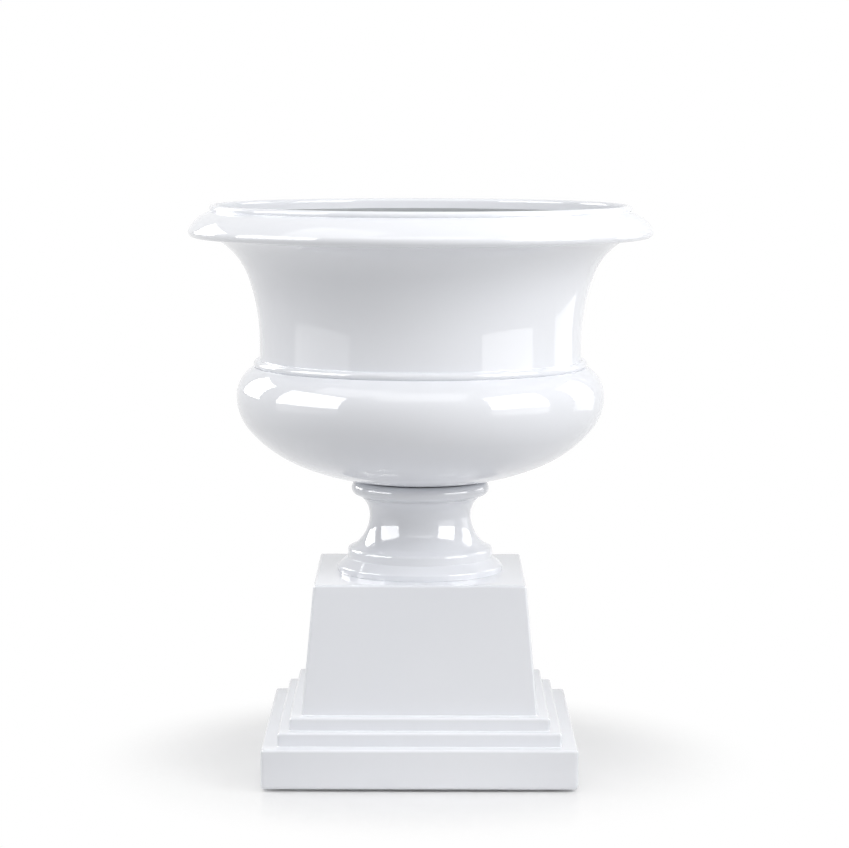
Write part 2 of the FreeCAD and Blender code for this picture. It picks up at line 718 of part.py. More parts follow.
urn_bowl = new_body("urn_bowl")
steps = [
    ("bowl_flat_radius", "bowl_base"),
    ("bottom_arc_r", "bottom_arc_z", "bottom_arc_radius", 1),
    ("belly_arc_r", "belly_arc_z", "belly_arc_radius", 1),
    ("bowl_radius", "bowl_z", "side_arc_radius", 1),
    ("shoulder_r", "joint_z", "shoulder_radius", 1),
    ("lap_outer_r", "joint_z"),
    ("lap_outer_r", "lap_top"),
    ("lap_inner_r", "lap_top"),
    ("lap_inner_r", "inner_shoulder_z"),
    ("inner_shoulder_r", "inner_shoulder_z"),
    ("bowl_radius - bowl_wall", "bowl_z", "shoulder_radius - bowl_wall", -1),
    ("inner_belly_r", "inner_belly_z", "side_arc_radius - bowl_wall", -1),
    ("inner_bottom_r", "inner_bottom_z", "belly_arc_radius - bowl_wall", -1),
    ("bowl_flat_radius", "bowl_floor", "bottom_arc_radius - bowl_wall", -1),
    ("stem_hole", "bowl_floor"),
    ("stem_hole", "bowl_base"),
]
turned(urn_bowl, "bowl", ("stem_hole", "bowl_base"), steps)

# Bell: waist bead, straight waist, two tangent arcs, rolled rim, mouth bead;
# inside, the wall follows the same curves under an inward lip

urn_bell = new_body("urn_bell")
steps = [
    ("bead_under_r", "joint_z"),
    ("waist_radius", "bead_top_z", "bead_radius", 1),
    ("waist_radius", "waist_z"),
    ("bell_arc_r", "bell_arc_z", "bell_radius", -1),
    ("bell_top_r", "bell_top_z", "bell_flare_radius", -1),
    ("nose_r", "soffit_z"),
    ("nose_end_r", "nose_end_z", "nose_radius", 1),
    ("groove_r", "groove_z", "ovolo_radius", 1),
    ("mouth_bead_r", "mouth_z", "mouth_bead_radius", 1),
    ("mouth_radius", "mouth_bead_z", "mouth_bead_radius", 1),
    ("mouth_radius", "lip_base"),
    ("shelf_r", "lip_base"),
    ("inner_nose_end_r", "inner_nose_end_z", "inner_ovolo_radius", -1),
    ("nose_r", "soffit_z + bell_wall", "inner_nose_radius", -1),
    ("inner_top_r", "inner_top_z"),
    ("inner_bell_r", "inner_bell_z", "bell_flare_radius + bell_wall", 1),
    ("inner_waist_r", "waist_z", "bell_radius + bell_wall", 1),
    ("inner_waist_r", "joint_z"),
]
turned(urn_bell, "bell", ("inner_waist_r", "joint_z"), steps)

# Clamp and drain between bowl and foot

ring(new_body("bowl_gasket"), "gasket", "stem_hole", "gasket_radius", "web_top", "bowl_base")
ring(new_body("flange_seal"), "seal", "stem_hole", "seal_radius", "bowl_floor", "seal_top")
ring(new_body("clamp_washer"), "washer", "stem_hole", "clamp_washer_radius", "washer_base", "web_base")

drain_fitting = new_body("drain_fitting")
flange_edge = "drain_flange_radius - drain_flange_rounding"
steps = [
    ("stem_radius", "stem_end"),
    ("stem_radius", "seal_top"),
    ("drain_flange_radius", "seal_top"),
    ("drain_flange_radius", "drain_flange_top - drain_flange_rounding"),
    (flange_edge, "drain_flange_top", "drain_flange_rounding", 1),
    ("drain_bore", "drain_flange_top"),
    ("drain_bore", "stem_end"),
]
turned(drain_fitting, "fitting", ("drain_bore", "stem_end"), steps)

lock_nut = new_body("lock_nut")
hexagon = new_sketch(lock_nut, "nut_outline", "XY_Plane", up="nut_base")
reach = "nut_width / sqrt(3)"
points = []
for angle in (0, 60, 120, 180, 240, 300):
    side = f"{reach} * sin({angle})" if angle % 180 else "0"
    points.append((f"{reach} * cos({angle})", side))
draw(hexagon, points[0], points[1:] + points[:1])
nut = lock_nut.newObject("PartDesign::Pad", "nut")
nut.Profile = hexagon
bind(nut, "Length", "nut_height")
drill(lock_nut, "nut_bore", on_axis, "stem_radius + screw_gap", "nut_base", "nut_height")

# Bung with its lug, and the pull ring through the lug

drain_bung = new_body("drain_bung")
head_edge = "bung_head_radius - bung_rounding"
steps = [
    ("bung_radius - bung_taper", "bung_base"),
    ("bung_radius", "drain_flange_top"),
    ("bung_head_radius", "drain_flange_top"),
    ("bung_head_radius", "bung_top - bung_rounding"),
    (head_edge, "bung_top", "bung_rounding", 1),
    ("0", "bung_top"),
    ("0", "bung_base"),
]
turned(drain_bung, "bung", ("0", "bung_base"), steps)
lug_sketch = new_sketch(drain_bung, "lug_outline", "YZ_Plane")
half = "lug_width / 2"
low = "-(lug_width / 2)"
lug_base = "drain_flange_top"
steps = [(half, lug_base), (half, "ring_z"), (low, "ring_z", half, 1), (low, lug_base)]
draw(lug_sketch, (low, lug_base), steps)
lug = drain_bung.newObject("PartDesign::Pad", "lug")
lug.Profile = lug_sketch
bind(lug, "Length", "lug_thickness")
lug.Midplane = True
eye_sketch = new_sketch(drain_bung, "eye_outline", "YZ_Plane")
eye_sketch.addGeometry(Part.Circle(V(0, value("ring_z"), 0), V(0, 0, 1), value("lug_hole")), False)
mark = eye_sketch.addConstraint(Sketcher.Constraint("Radius", 0, value("lug_hole")))
bind(eye_sketch, f"Constraints[{mark}]", "lug_hole")
place(eye_sketch, 0, 3, "0", "ring_z")
eye = drain_bung.newObject("PartDesign::Pocket", "eye")
eye.Profile = eye_sketch
bind(eye, "Length", "lug_thickness * 2")
eye.Midplane = True

pull_ring = document.addObject("Part::Torus", "pull_ring")
bind(pull_ring, "Radius1", "ring_radius")
bind(pull_ring, "Radius2", "ring_wire_radius")
bind(pull_ring, "Placement.Base.y", "-ring_radius")
bind(pull_ring, "Placement.Base.z", "ring_z")
parts.append(pull_ring)

# Check every object and write one file for each piece

document.recompute()
for item in document.Objects:
    if "Invalid" in item.State or "Error" in item.State:
        raise RuntimeError(f"{item.Label} failed: {item.State}")
os.makedirs("parts", exist_ok=True)
for part in parts:
    if part.Shape.isNull() or not part.Shape.isValid():
        raise RuntimeError(f"{part.Label} has no valid shape")
    part.Shape.exportStep(f"parts/{part.Label}.step")
    litres = part.Shape.Volume / 1e6
    print(f"{part.Label}: {len(part.Shape.Solids)} solids, {litres:.4f} litres")
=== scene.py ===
from math import atan, cos, degrees, pi, radians, sin, sqrt, tan

import bpy
import numpy as np
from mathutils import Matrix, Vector


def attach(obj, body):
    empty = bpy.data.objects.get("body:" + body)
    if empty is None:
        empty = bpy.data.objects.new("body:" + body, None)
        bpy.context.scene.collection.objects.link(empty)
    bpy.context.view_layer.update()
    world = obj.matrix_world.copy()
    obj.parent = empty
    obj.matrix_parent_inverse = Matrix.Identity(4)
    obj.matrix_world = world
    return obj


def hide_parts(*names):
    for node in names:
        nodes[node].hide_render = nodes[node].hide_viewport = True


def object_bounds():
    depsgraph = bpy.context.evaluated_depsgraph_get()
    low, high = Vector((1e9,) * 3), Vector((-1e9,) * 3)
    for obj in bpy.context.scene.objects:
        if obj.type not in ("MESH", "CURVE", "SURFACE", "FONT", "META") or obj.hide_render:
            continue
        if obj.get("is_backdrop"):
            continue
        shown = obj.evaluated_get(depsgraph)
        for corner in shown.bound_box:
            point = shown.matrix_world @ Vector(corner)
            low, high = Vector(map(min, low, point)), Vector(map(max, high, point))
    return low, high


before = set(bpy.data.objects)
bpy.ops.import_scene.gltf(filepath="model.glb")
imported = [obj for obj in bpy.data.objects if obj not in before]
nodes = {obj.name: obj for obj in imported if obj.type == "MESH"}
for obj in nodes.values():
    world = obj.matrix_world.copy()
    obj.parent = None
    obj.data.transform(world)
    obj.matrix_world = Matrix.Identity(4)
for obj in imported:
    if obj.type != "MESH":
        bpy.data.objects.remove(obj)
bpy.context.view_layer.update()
mm = 0.001
print("frame loaded:", len(nodes), "nodes")

# Shapes: a profile is a path of points joined by straight runs and arcs


def tracePath(start, steps, chord=1.2):
    # Each step is (point, radius, side). Radius 0 gives a straight run. Side 1 has the arc's
    # centre on the left of the way to the point, -1 on the right. Values after the first two
    # follow the first one along an arc.
    runs = []
    here = np.array(start, float)
    for point, radius, side in steps:
        there = np.array(point, float)
        across = there[:2] - here[:2]
        length = np.hypot(*across)
        if radius == 0:
            count = max(2, int(length / (5 * chord)) + 1)
            share = np.linspace(0, 1, count + 1)
            run = here + share[:, None] * (there - here)
        else:
            left = np.array([-across[1], across[0]]) / length
            depth = sqrt(max(radius**2 - (length / 2) ** 2, 0))
            centre = (here[:2] + there[:2]) / 2 + left * side * depth
            first = np.arctan2(*(here[:2] - centre)[::-1])
            last = np.arctan2(*(there[:2] - centre)[::-1])
            turn = (last - first) * side % (2 * pi) * side
            count = max(6, int(abs(turn) * radius / chord) + 1, int(abs(degrees(turn)) / 4) + 1)
            angle = first + np.linspace(0, 1, count + 1) * turn
            run = np.empty((count + 1, len(here)))
            run[:, 0] = centre[0] + radius * np.cos(angle)
            run[:, 1] = centre[1] + radius * np.sin(angle)
            share = np.linspace(0, 1, count + 1)
            if len(here) > 2:
                if there[0] != here[0]:
                    share = (run[:, 0] - here[0]) / (there[0] - here[0])
                run[:, 2:] = here[2:] + share[:, None] * (there[2:] - here[2:])
        runs.append(run)
        here = there
    return runs


def easeCorners(runs, radius, closed=True):
    # A corner sharper than 10 degrees is cut back along both runs by radius times the tangent of
    # half its turn, at most 0.42 of a run, and a quadratic curve with the corner as its middle
    # point joins the two ends.
    count = len(runs)
    starts = [None] * count
    ends = [None] * count
    bends = [None] * count
    for index in range(count if closed else count - 1):
        following = (index + 1) % count
        into = runs[index][-1, :2] - runs[index][-2, :2]
        out = runs[following][1, :2] - runs[following][0, :2]
        turn = abs(np.arctan2(into[0] * out[1] - into[1] * out[0], into @ out))
        if turn < radians(10):
            continue
        lengths = [np.hypot(*np.diff(runs[i][:, :2], axis=0).T).sum() for i in (index, following)]
        cut = min(radius * tan(min(turn, 2.6) / 2), 0.42 * lengths[0], 0.42 * lengths[1])
        ends[index] = cut
        starts[following] = cut
        bends[index] = True
    trimmed = []
    for run, first, last in zip(runs, starts, ends):
        along = np.concatenate([[0], np.cumsum(np.hypot(*np.diff(run[:, :2], axis=0).T))])
        low = first or 0
        high = along[-1] - (last or 0)
        keep = along[(along > low + 1e-6) & (along < high - 1e-6)]
        guard = [low + 0.5 * low] if first and high - low > 2 * low else []
        guard += [high - 0.5 * last] if last and high - low > 2 * last else []
        keep = np.unique(np.concatenate([[low], guard, keep, [high]]))
        trimmed.append(np.stack([np.interp(keep, along, run[:, k]) for k in range(run.shape[1])], 1))
    path = []
    for index, run in enumerate(trimmed):
        path.append(run if bends[index - 1] or (index == 0 and not closed) else run[1:])
        if bends[index]:
            share = np.linspace(0, 1, 9)[1:-1, None]
            corner = runs[index][-1]
            after = trimmed[(index + 1) % count][0]
            path.append((1 - share) ** 2 * run[-1] + 2 * share * (1 - share) * corner + share**2 * after)
    return np.concatenate(path)


def addMesh(name, points, faces, material, body, stands=()):
    # Points are in millimetres; the object stays at the origin with its place in its mesh.
    mesh = bpy.data.meshes.new(name)
    mesh.from_pydata(points * mm, [], faces)
    mesh.shade_smooth()
    mesh.materials.append(material)
    piece = bpy.data.objects.new(name, mesh)
    bpy.context.scene.collection.objects.link(piece)
    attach(piece, body)
    if stands:
        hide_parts(*stands)
    return piece


def ringFaces(count, around):
    # Quads between each ring and the next, with the last ring joined to the first.
    ring, step = np.meshgrid(np.arange(count), np.arange(around), indexing="ij")
    nextRing = (ring + 1) % count
    nextStep = (step + 1) % around
    corners = [ring * around + step, ring * around + nextStep,
               nextRing * around + nextStep, nextRing * around + step]
    return np.stack(corners, -1).reshape(-1, 4)


def turnedPoints(profile, around):
    # Each profile point (r, z) goes round the upright axis: (r cos a, r sin a, z).
    angle = np.linspace(0, 2 * pi, around, endpoint=False)
    radius, height = profile[:, 0, None], profile[:, 1, None]
    grid = [radius * np.cos(angle), radius * np.sin(angle), height + 0 * angle]
    return np.stack(grid, -1).reshape(-1, 3)


def squarePoints(profile, side, corner):
    # Each profile point (half width h, height z, corner radius c) becomes a rounded square: the
    # centre of each corner lies h - c out from both axes, and a quarter circle of radius c joins
    # straight sides.
    along = np.sin(np.linspace(-pi / 2, pi / 2, side + 1))[1:-1]
    bend = np.linspace(0, pi / 2, corner + 1)
    frameX = np.concatenate([np.ones(side - 1), np.ones(corner + 1)])
    frameY = np.concatenate([along, np.ones(corner + 1)])
    roundX = np.concatenate([np.ones(side - 1), np.cos(bend)])
    roundY = np.concatenate([np.zeros(side - 1), np.sin(bend)])
    half, height, radius = profile[:, 0, None], profile[:, 1, None], profile[:, 2, None]
    x = (half - radius) * frameX + radius * roundX
    y = (half - radius) * frameY + radius * roundY
    x, y = np.concatenate([x, -y, -x, y], 1), np.concatenate([y, x, -y, -x], 1)
    return np.stack([x, y, height + 0 * x], -1).reshape(-1, 3), x.shape[1]


def markInside(piece, values):
    # A share per point, 1 where the surface is the rough inside of the shell.
    layer = piece.data.attributes.new("inside", "FLOAT", "POINT")
    layer.data.foreach_set("value", values.astype(np.float32))


def withInside(start, steps, first):
    # Adds the inside share to a closed path: 1 from the step numbered first to the start.
    marked = [((*point, float(index >= first)), radius, side)
              for index, (point, radius, side) in enumerate(steps)]
    return (*start, 1.0), marked


# Finishes


def newMaterial(name):
    material = bpy.data.materials.new(name)
    material.use_nodes = True
    tree = material.node_tree
    tree.nodes.clear()
    output = tree.nodes.new("ShaderNodeOutputMaterial")
    surface = tree.nodes.new("ShaderNodeBsdfPrincipled")
    tree.links.new(surface.outputs[0], output.inputs["Surface"])
    return material, tree, surface


def addNode(tree, kind, inputs=None, **fields):
    # A node with its fields set; inputs that are outputs of other nodes are linked.
    node = tree.nodes.new("ShaderNode" + kind)
    for field, value in fields.items():
        setattr(node, field, value)
    for key, value in (inputs or {}).items():
        if isinstance(value, bpy.types.NodeSocket):
            tree.links.new(value, node.inputs[key])
        else:
            node.inputs[key].default_value = value
    return node


def objectPlace(tree, scale=(1, 1, 1), location=(0, 0, 0)):
    place = addNode(tree, "TexCoord").outputs["Object"]
    return addNode(tree, "Mapping", {"Vector": place, "Scale": scale, "Location": location}).outputs[0]


def noise(tree, vector, scale, detail=3.0, roughness=0.5, distortion=0.0):
    inputs = {"Vector": vector, "Scale": scale, "Detail": detail, "Roughness": roughness,
              "Distortion": distortion}
    return addNode(tree, "TexNoise", inputs).outputs["Fac"]


def spread(tree, value, low, high, fromLow=0.0, fromHigh=1.0):
    inputs = {"Value": value, "From Min": fromLow, "From Max": fromHigh, "To Min": low, "To Max": high}
    return addNode(tree, "MapRange", inputs).outputs["Result"]


def mixColour(tree, share, first, second):
    node = addNode(tree, "Mix", data_type="RGBA")
    for index, value in ((0, share), (6, first), (7, second)):
        if isinstance(value, bpy.types.NodeSocket):
            tree.links.new(value, node.inputs[index])
        else:
            node.inputs[index].default_value = (*value, 1) if index else value
    return node.outputs[2]


def arithmetic(tree, operation, first, second=0.0):
    return addNode(tree, "Math", {0: first, 1: second}, operation=operation).outputs[0]


def bump(tree, height, strength, distance, normal=None):
    inputs = {"Height": height, "Strength": strength, "Distance": distance}
    if normal is not None:
        inputs["Normal"] = normal
    return addNode(tree, "Bump", inputs).outputs[0]


def lacquerMaterial(look):
    # White gloss lacquer: slow tone and gloss drift, fine orange peel;
    # where the point value inside is 1 it turns to a rough brushed flow coat.
    material, tree, surface = newMaterial("whiteLacquer")
    place = objectPlace(tree)
    drift = noise(tree, place, look["driftScale"], 2)
    tone = mixColour(tree, spread(tree, drift, 0, 1, 0.3, 0.7), look["white"], look["whiteWarm"])
    inside = addNode(tree, "Attribute", attribute_name="inside").outputs["Fac"]
    brushed = noise(tree, objectPlace(tree, (1, 1, 9)), 40, 4)
    coat = mixColour(tree, spread(tree, brushed, 0, 1, 0.3, 0.7), look["flowCoat"], look["flowCoatDark"])
    colour = mixColour(tree, inside, tone, coat)
    tree.links.new(colour, surface.inputs["Base Color"])
    cloud = noise(tree, place, look["cloudScale"], 4)
    gloss = spread(tree, cloud, look["glossLow"], look["glossHigh"], 0.25, 0.75)
    dull = addNode(tree, "Mix", data_type="FLOAT")
    tree.links.new(inside, dull.inputs[0])
    tree.links.new(gloss, dull.inputs[2])
    dull.inputs[3].default_value = look["coatRoughness"]
    tree.links.new(dull.outputs[0], surface.inputs["Roughness"])
    peel = noise(tree, place, look["peelScale"], 2)
    wave = noise(tree, place, look["waveScale"], 1)
    normal = bump(tree, wave, look["waveStrength"], 0.001)
    normal = bump(tree, peel, look["peelStrength"], 0.0003, normal)
    normal = bump(tree, brushed, arithmetic(tree, "MULTIPLY", inside, look["coatStrength"]), 0.0006, normal)
    tree.links.new(normal, surface.inputs["Normal"])
    surface.inputs["IOR"].default_value = look["ior"]
    return material


lacquer = {
    "white": (0.80, 0.815, 0.855),
    "whiteWarm": (0.82, 0.832, 0.866),
    "flowCoat": (0.74, 0.75, 0.765),
    "flowCoatDark": (0.68, 0.69, 0.70),
    "driftScale": 3.0,
    "cloudScale": 9.0,
    "glossLow": 0.015,
    "glossHigh": 0.045,
    "peelScale": 260.0,
    "peelStrength": 0.06,
    "waveScale": 9.0,
    "waveStrength": 0.12,
    "ior": 1.52,
    "coatRoughness": 0.5,  # this and the next are the rough inside's
    "coatStrength": 0.6,
}
whiteLacquer = lacquerMaterial(lacquer)

# Plinth: slab, two steps and tapered die as one hollow moulding

plinth = {
    "body": (410.0, 52.0, 5.0, 5.0),  # width, height, lower rounding, corner rounding
    "padHeight": 3.0,
    "lowerStep": (20.5, 18.0),  # setback, height
    "upperStep": (15.0, 17.0),
    "dieSetback": 15.5,
    "dieHeight": 169.0,
    "dieSlope": 5.1,
    "edge": 3.5,
    "hollow": 0.9,  # rounding in the inner corners of the outside
    "wall": 5.0,
    "flange": 45.0,
    "drainHole": 30.0,
    "innerEdge": 0.3,  # corner radius where a face turns inwards
    "sideSteps": 20,
    "cornerSteps": 8,
}


def plinthProfile(p):
    width, slabHeight, lowerEdge, corner = p["body"]
    edge, wall = p["edge"], p["wall"]
    half = width / 2
    base = p["padHeight"]
    slabTop = base + slabHeight
    firstHalf = half - p["lowerStep"][0]
    firstTop = slabTop + p["lowerStep"][1]
    secondHalf = firstHalf - p["upperStep"][0]
    secondTop = firstTop + p["upperStep"][1]
    foot = secondHalf - p["dieSetback"]
    top = secondTop + p["dieHeight"]
    slope = radians(p["dieSlope"])
    head = foot - p["dieHeight"] * tan(slope)
    bend = edge * tan((pi / 2 - slope) / 2)  # from the corner to where the rounding starts
    opening = half - p["flange"]
    lean = wall / cos(slope)
    boardTop = top - wall
    small = p["innerEdge"]
    start = (opening, base, 3)
    steps = [
        ((half - lowerEdge, base, small), 0, 0),
        ((half, base + lowerEdge, corner), lowerEdge, 1),
        ((half, slabTop - edge, corner), 0, 0),
        ((half - edge, slabTop, corner - edge), edge, 1),
        ((firstHalf, slabTop, edge), 0, 0),
        ((firstHalf, firstTop - edge, edge), 0, 0),
        ((firstHalf - edge, firstTop, small), edge, 1),
        ((secondHalf, firstTop, edge), 0, 0),
        ((secondHalf, secondTop - edge, edge), 0, 0),
        ((secondHalf - edge, secondTop, small), edge, 1),
        ((foot, secondTop, edge), 0, 0),
        ((head + bend * sin(slope), top - bend * cos(slope), edge), 0, 0),
        ((head - bend, top, small), edge, 1),
        ((p["drainHole"], top, p["drainHole"] - small), 0, 0),
        ((p["drainHole"], boardTop, p["drainHole"] - small), 0, 0),
        ((head + wall * tan(slope) - lean, boardTop, 1), 0, 0),
        ((foot + wall * tan(slope) - lean, secondTop - wall, 1), 0, 0),
        ((secondHalf - wall, secondTop - wall, 1), 0, 0),
        ((secondHalf - wall, firstTop - wall, 1), 0, 0),
        ((firstHalf - wall, firstTop - wall, 1), 0, 0),
        ((firstHalf - wall, slabTop - wall, 1), 0, 0),
        ((half - wall, slabTop - wall, 1), 0, 0),
        ((half - wall, base + wall, 1), 0, 0),
        ((opening, base + wall, 3), 0, 0),
        (start, 0, 0),
    ]
    return easeCorners(tracePath(*withInside(start, steps, 14)), p["hollow"])


plinthPath = plinthProfile(plinth)
points, around = squarePoints(plinthPath, plinth["sideSteps"], plinth["cornerSteps"])
plinthShell = addMesh("plinthShell", points, ringFaces(len(plinthPath), around), whiteLacquer,
                      "plinth", ["plinth_shell"])
markInside(plinthShell, np.repeat(plinthPath[:, 3], around))
print("plinth shell:", len(points), "points")


def addTurnedShell(name, path, around, node):
    # A closed lacquered ring of a profile (r, z, inside share).
    points = turnedPoints(path, around)
    faces = ringFaces(len(path), around)
    shell = addMesh(name, points, faces, whiteLacquer, "urn", [node])
    markInside(shell, np.repeat(path[:, 2], around))
    print(name, "added:", len(points), "points")


# Foot: plates, flare, cove and collar outside, an even wall inside

foot = {
    "base": 259.0,
    "lowerPlateHeight": 7.8,
    "plateProjection": 13.6,
    "plateSlope": 10.7,
    "plateRounding": 2.5,
    "upperPlateHeight": 9.2,
    "flareRounding": 5.0,
    "flareLip": 5.1,
    "flareRadius": 21.2,
    "flareAngle": 66.0,
    "coveRadius": 51.7,
    "coveAngle": 45.0,
    "throatRadius": 68.0,
    "neckCoveHeight": 23.2,
    "neckCoveDepth": 10.0,
    "filletHeight": 3.8,
    "collarOverhang": 4.7,
    "collarRoll": 9.5,
    "wall": 6.0,
    "webDrop": 3.5,
    "stemHole": 13.5,
    "soft": 0.7,  # rounding of its sharp edges
    "around": 240,  # points round the axis
}


def footProfile(f):
    cove, flare = radians(f["coveAngle"]), radians(f["flareAngle"])
    wall = f["wall"]
    coveR = f["throatRadius"] + f["coveRadius"] * (1 - cos(cove))
    flareR = coveR + f["flareRadius"] * (cos(cove) - cos(flare))
    lipR = flareR + f["flareLip"] * sin(flare)
    upperR = lipR + f["flareRounding"] * (1 - cos(flare))
    lowerR = upperR + f["plateProjection"]
    turn = tan(atan(f["plateProjection"] / f["plateSlope"]) / 2)
    bevel = f["plateRounding"] * turn
    angle = atan(f["plateProjection"] / f["plateSlope"])
    base = f["base"]
    lowerTop = base + f["lowerPlateHeight"]
    upperBase = lowerTop + f["plateSlope"]
    upperTop = upperBase + f["upperPlateHeight"]
    lipZ = upperTop + f["flareRounding"] * sin(flare)
    flareZ = lipZ + f["flareLip"] * cos(flare)
    coveZ = flareZ + f["flareRadius"] * (sin(flare) - sin(cove))
    throatZ = coveZ + f["coveRadius"] * sin(cove)
    filletR = f["throatRadius"] + f["neckCoveDepth"]
    filletZ = throatZ + f["neckCoveHeight"]
    collarZ = filletZ + f["filletHeight"]
    neckRadius = (f["neckCoveDepth"] ** 2 + f["neckCoveHeight"] ** 2) / (2 * f["neckCoveDepth"])
    roll = f["collarRoll"]
    collarR = filletR + f["collarOverhang"]
    webTop = collarZ + 2 * roll - f["webDrop"]
    webR = collarR - sqrt(roll**2 - (roll - f["webDrop"]) ** 2)
    webBase = webTop - wall
    innerFlareR = flareR - wall * cos(flare)
    innerFlareZ = flareZ - wall * sin(flare)
    start = (lowerR - wall, base)
    steps = [
        ((lowerR, base), 0, 0),
        ((lowerR, lowerTop - bevel), 0, 0),
        ((lowerR - bevel * sin(angle), lowerTop + bevel * cos(angle)), f["plateRounding"], 1),
        ((upperR, upperBase), 0, 0),
        ((upperR, upperTop), 0, 0),
        ((lipR, lipZ), f["flareRounding"], 1),
        ((flareR, flareZ), 0, 0),
        ((coveR, coveZ), f["flareRadius"], -1),
        ((f["throatRadius"], throatZ), f["coveRadius"], -1),
        ((filletR, filletZ), neckRadius, -1),
        ((filletR, collarZ), 0, 0),
        ((collarR, collarZ), 0, 0),
        ((collarR + roll, collarZ + roll), roll, 1),
        ((collarR, collarZ + 2 * roll), roll, 1),
        ((webR, webTop), roll, 1),
        ((f["stemHole"], webTop), 0, 0),
        ((f["stemHole"], webBase), 0, 0),
        ((filletR - wall, webBase), 0, 0),
        ((filletR - wall, filletZ), 0, 0),
        ((f["throatRadius"] - wall, throatZ), neckRadius, 1),
        ((coveR - wall * cos(cove), coveZ - wall * sin(cove)), f["coveRadius"] + wall, 1),
        ((innerFlareR, innerFlareZ), f["flareRadius"] + wall, 1),
        ((upperR - wall, innerFlareZ - (upperR - wall - innerFlareR) / tan(flare)), 0, 0),
        ((upperR - wall, upperBase - wall * turn), 0, 0),
        ((lowerR - wall, lowerTop - wall * turn), 0, 0),
        (start, 0, 0),
    ]
    return easeCorners(tracePath(*withInside(start, steps, 17)), f["soft"]), webTop


footPath, webTop = footProfile(foot)
addTurnedShell("footShell", footPath, foot["around"], "urn_foot")

# Bowl: flat bottom, three tangent arcs, shoulder, and the collar that laps inside the bell

bowl = {
    "gasket": 2.0,
    "flatRadius": 46.0,
    "bottomRadius": 298.7,
    "bottomAngle": 65.5,
    "bellyRadius": 174.7,
    "bellyAngle": 41.0,
    "sideRadius": 68.5,
    "shoulderRadius": 45.6,
    "shoulderRise": 39.4,
    "wall": 5.0,
    "lapHeight": 24.0,
    "lapPlay": 0.3,
    "soft": 0.5,
    "around": 288,
}

# Bell: waist bead, straight waist, two tangent arcs, rolled rim and mouth bead; the rim is
# undercut inside, below an upright lip

bell = {
    "beadStep": 2.5,
    "beadRadius": 5.5,
    "beadDrop": 4.3,
    "creaseDepth": 2.4,
    "waistStraight": 24.5,
    "radius": 254.8,
    "angle": 20.2,
    "flareRadius": 90.4,
    "flareAngle": 61.5,
    "wall": 5.0,
    "soffitWidth": 29.2,
    "soffitRise": 2.5,
    "noseRadius": 7.9,
    "noseAngle": 28.5,
    "ovoloRadius": 48.6,
    "ovoloAngle": 74.0,
    "mouthBeadRadius": 4.3,
    "mouthBeadRise": 3.7,
    "lipHeight": 10.0,
    "soft": 0.6,
    "around": 236,
}


def bowlProfile(b, c, base, hole):
    # c is the bell's dictionary: the lap collar lies just inside its wall.
    low, high = radians(b["bottomAngle"]), radians(b["bellyAngle"])
    wall = b["wall"]
    bottomR = b["flatRadius"] + b["bottomRadius"] * cos(low)
    bottomZ = base + b["bottomRadius"] * (1 - sin(low))
    bellyR = bottomR + b["bellyRadius"] * (cos(high) - cos(low))
    bellyZ = bottomZ + b["bellyRadius"] * (sin(low) - sin(high))
    widestR = bellyR + b["sideRadius"] * (1 - cos(high))
    widestZ = bellyZ + b["sideRadius"] * sin(high)
    joint = widestZ + b["shoulderRise"]
    centreR = widestR - b["shoulderRadius"]
    shoulderR = centreR + sqrt(b["shoulderRadius"] ** 2 - b["shoulderRise"] ** 2)
    innerZ = joint - wall
    innerR = centreR + sqrt((b["shoulderRadius"] - wall) ** 2 - (innerZ - widestZ) ** 2)
    beadR = shoulderR - c["creaseDepth"] - sqrt(c["beadRadius"] ** 2 - c["beadDrop"] ** 2)
    waistR = beadR - c["beadStep"]
    lapR = waistR - c["wall"] - b["lapPlay"]
    start = (hole, base)
    steps = [
        ((b["flatRadius"], base), 0, 0),
        ((bottomR, bottomZ), b["bottomRadius"], 1),
        ((bellyR, bellyZ), b["bellyRadius"], 1),
        ((widestR, widestZ), b["sideRadius"], 1),
        ((shoulderR, joint), b["shoulderRadius"], 1),
        ((lapR, joint), 0, 0),
        ((lapR, joint + b["lapHeight"]), 0, 0),
        ((lapR - wall, joint + b["lapHeight"]), 0, 0),
        ((lapR - wall, innerZ), 0, 0),
        ((innerR, innerZ), 0, 0),
        ((widestR - wall, widestZ), b["shoulderRadius"] - wall, -1),
        ((bellyR - wall * cos(high), bellyZ + wall * sin(high)), b["sideRadius"] - wall, -1),
        ((bottomR - wall * cos(low), bottomZ + wall * sin(low)), b["bellyRadius"] - wall, -1),
        ((b["flatRadius"], base + wall), b["bottomRadius"] - wall, -1),
        ((hole, base + wall), 0, 0),
        (start, 0, 0),
    ]
    runs = tracePath(*withInside(start, steps, 8), 2.8)
    return easeCorners(runs, b["soft"]), joint, shoulderR, beadR, waistR


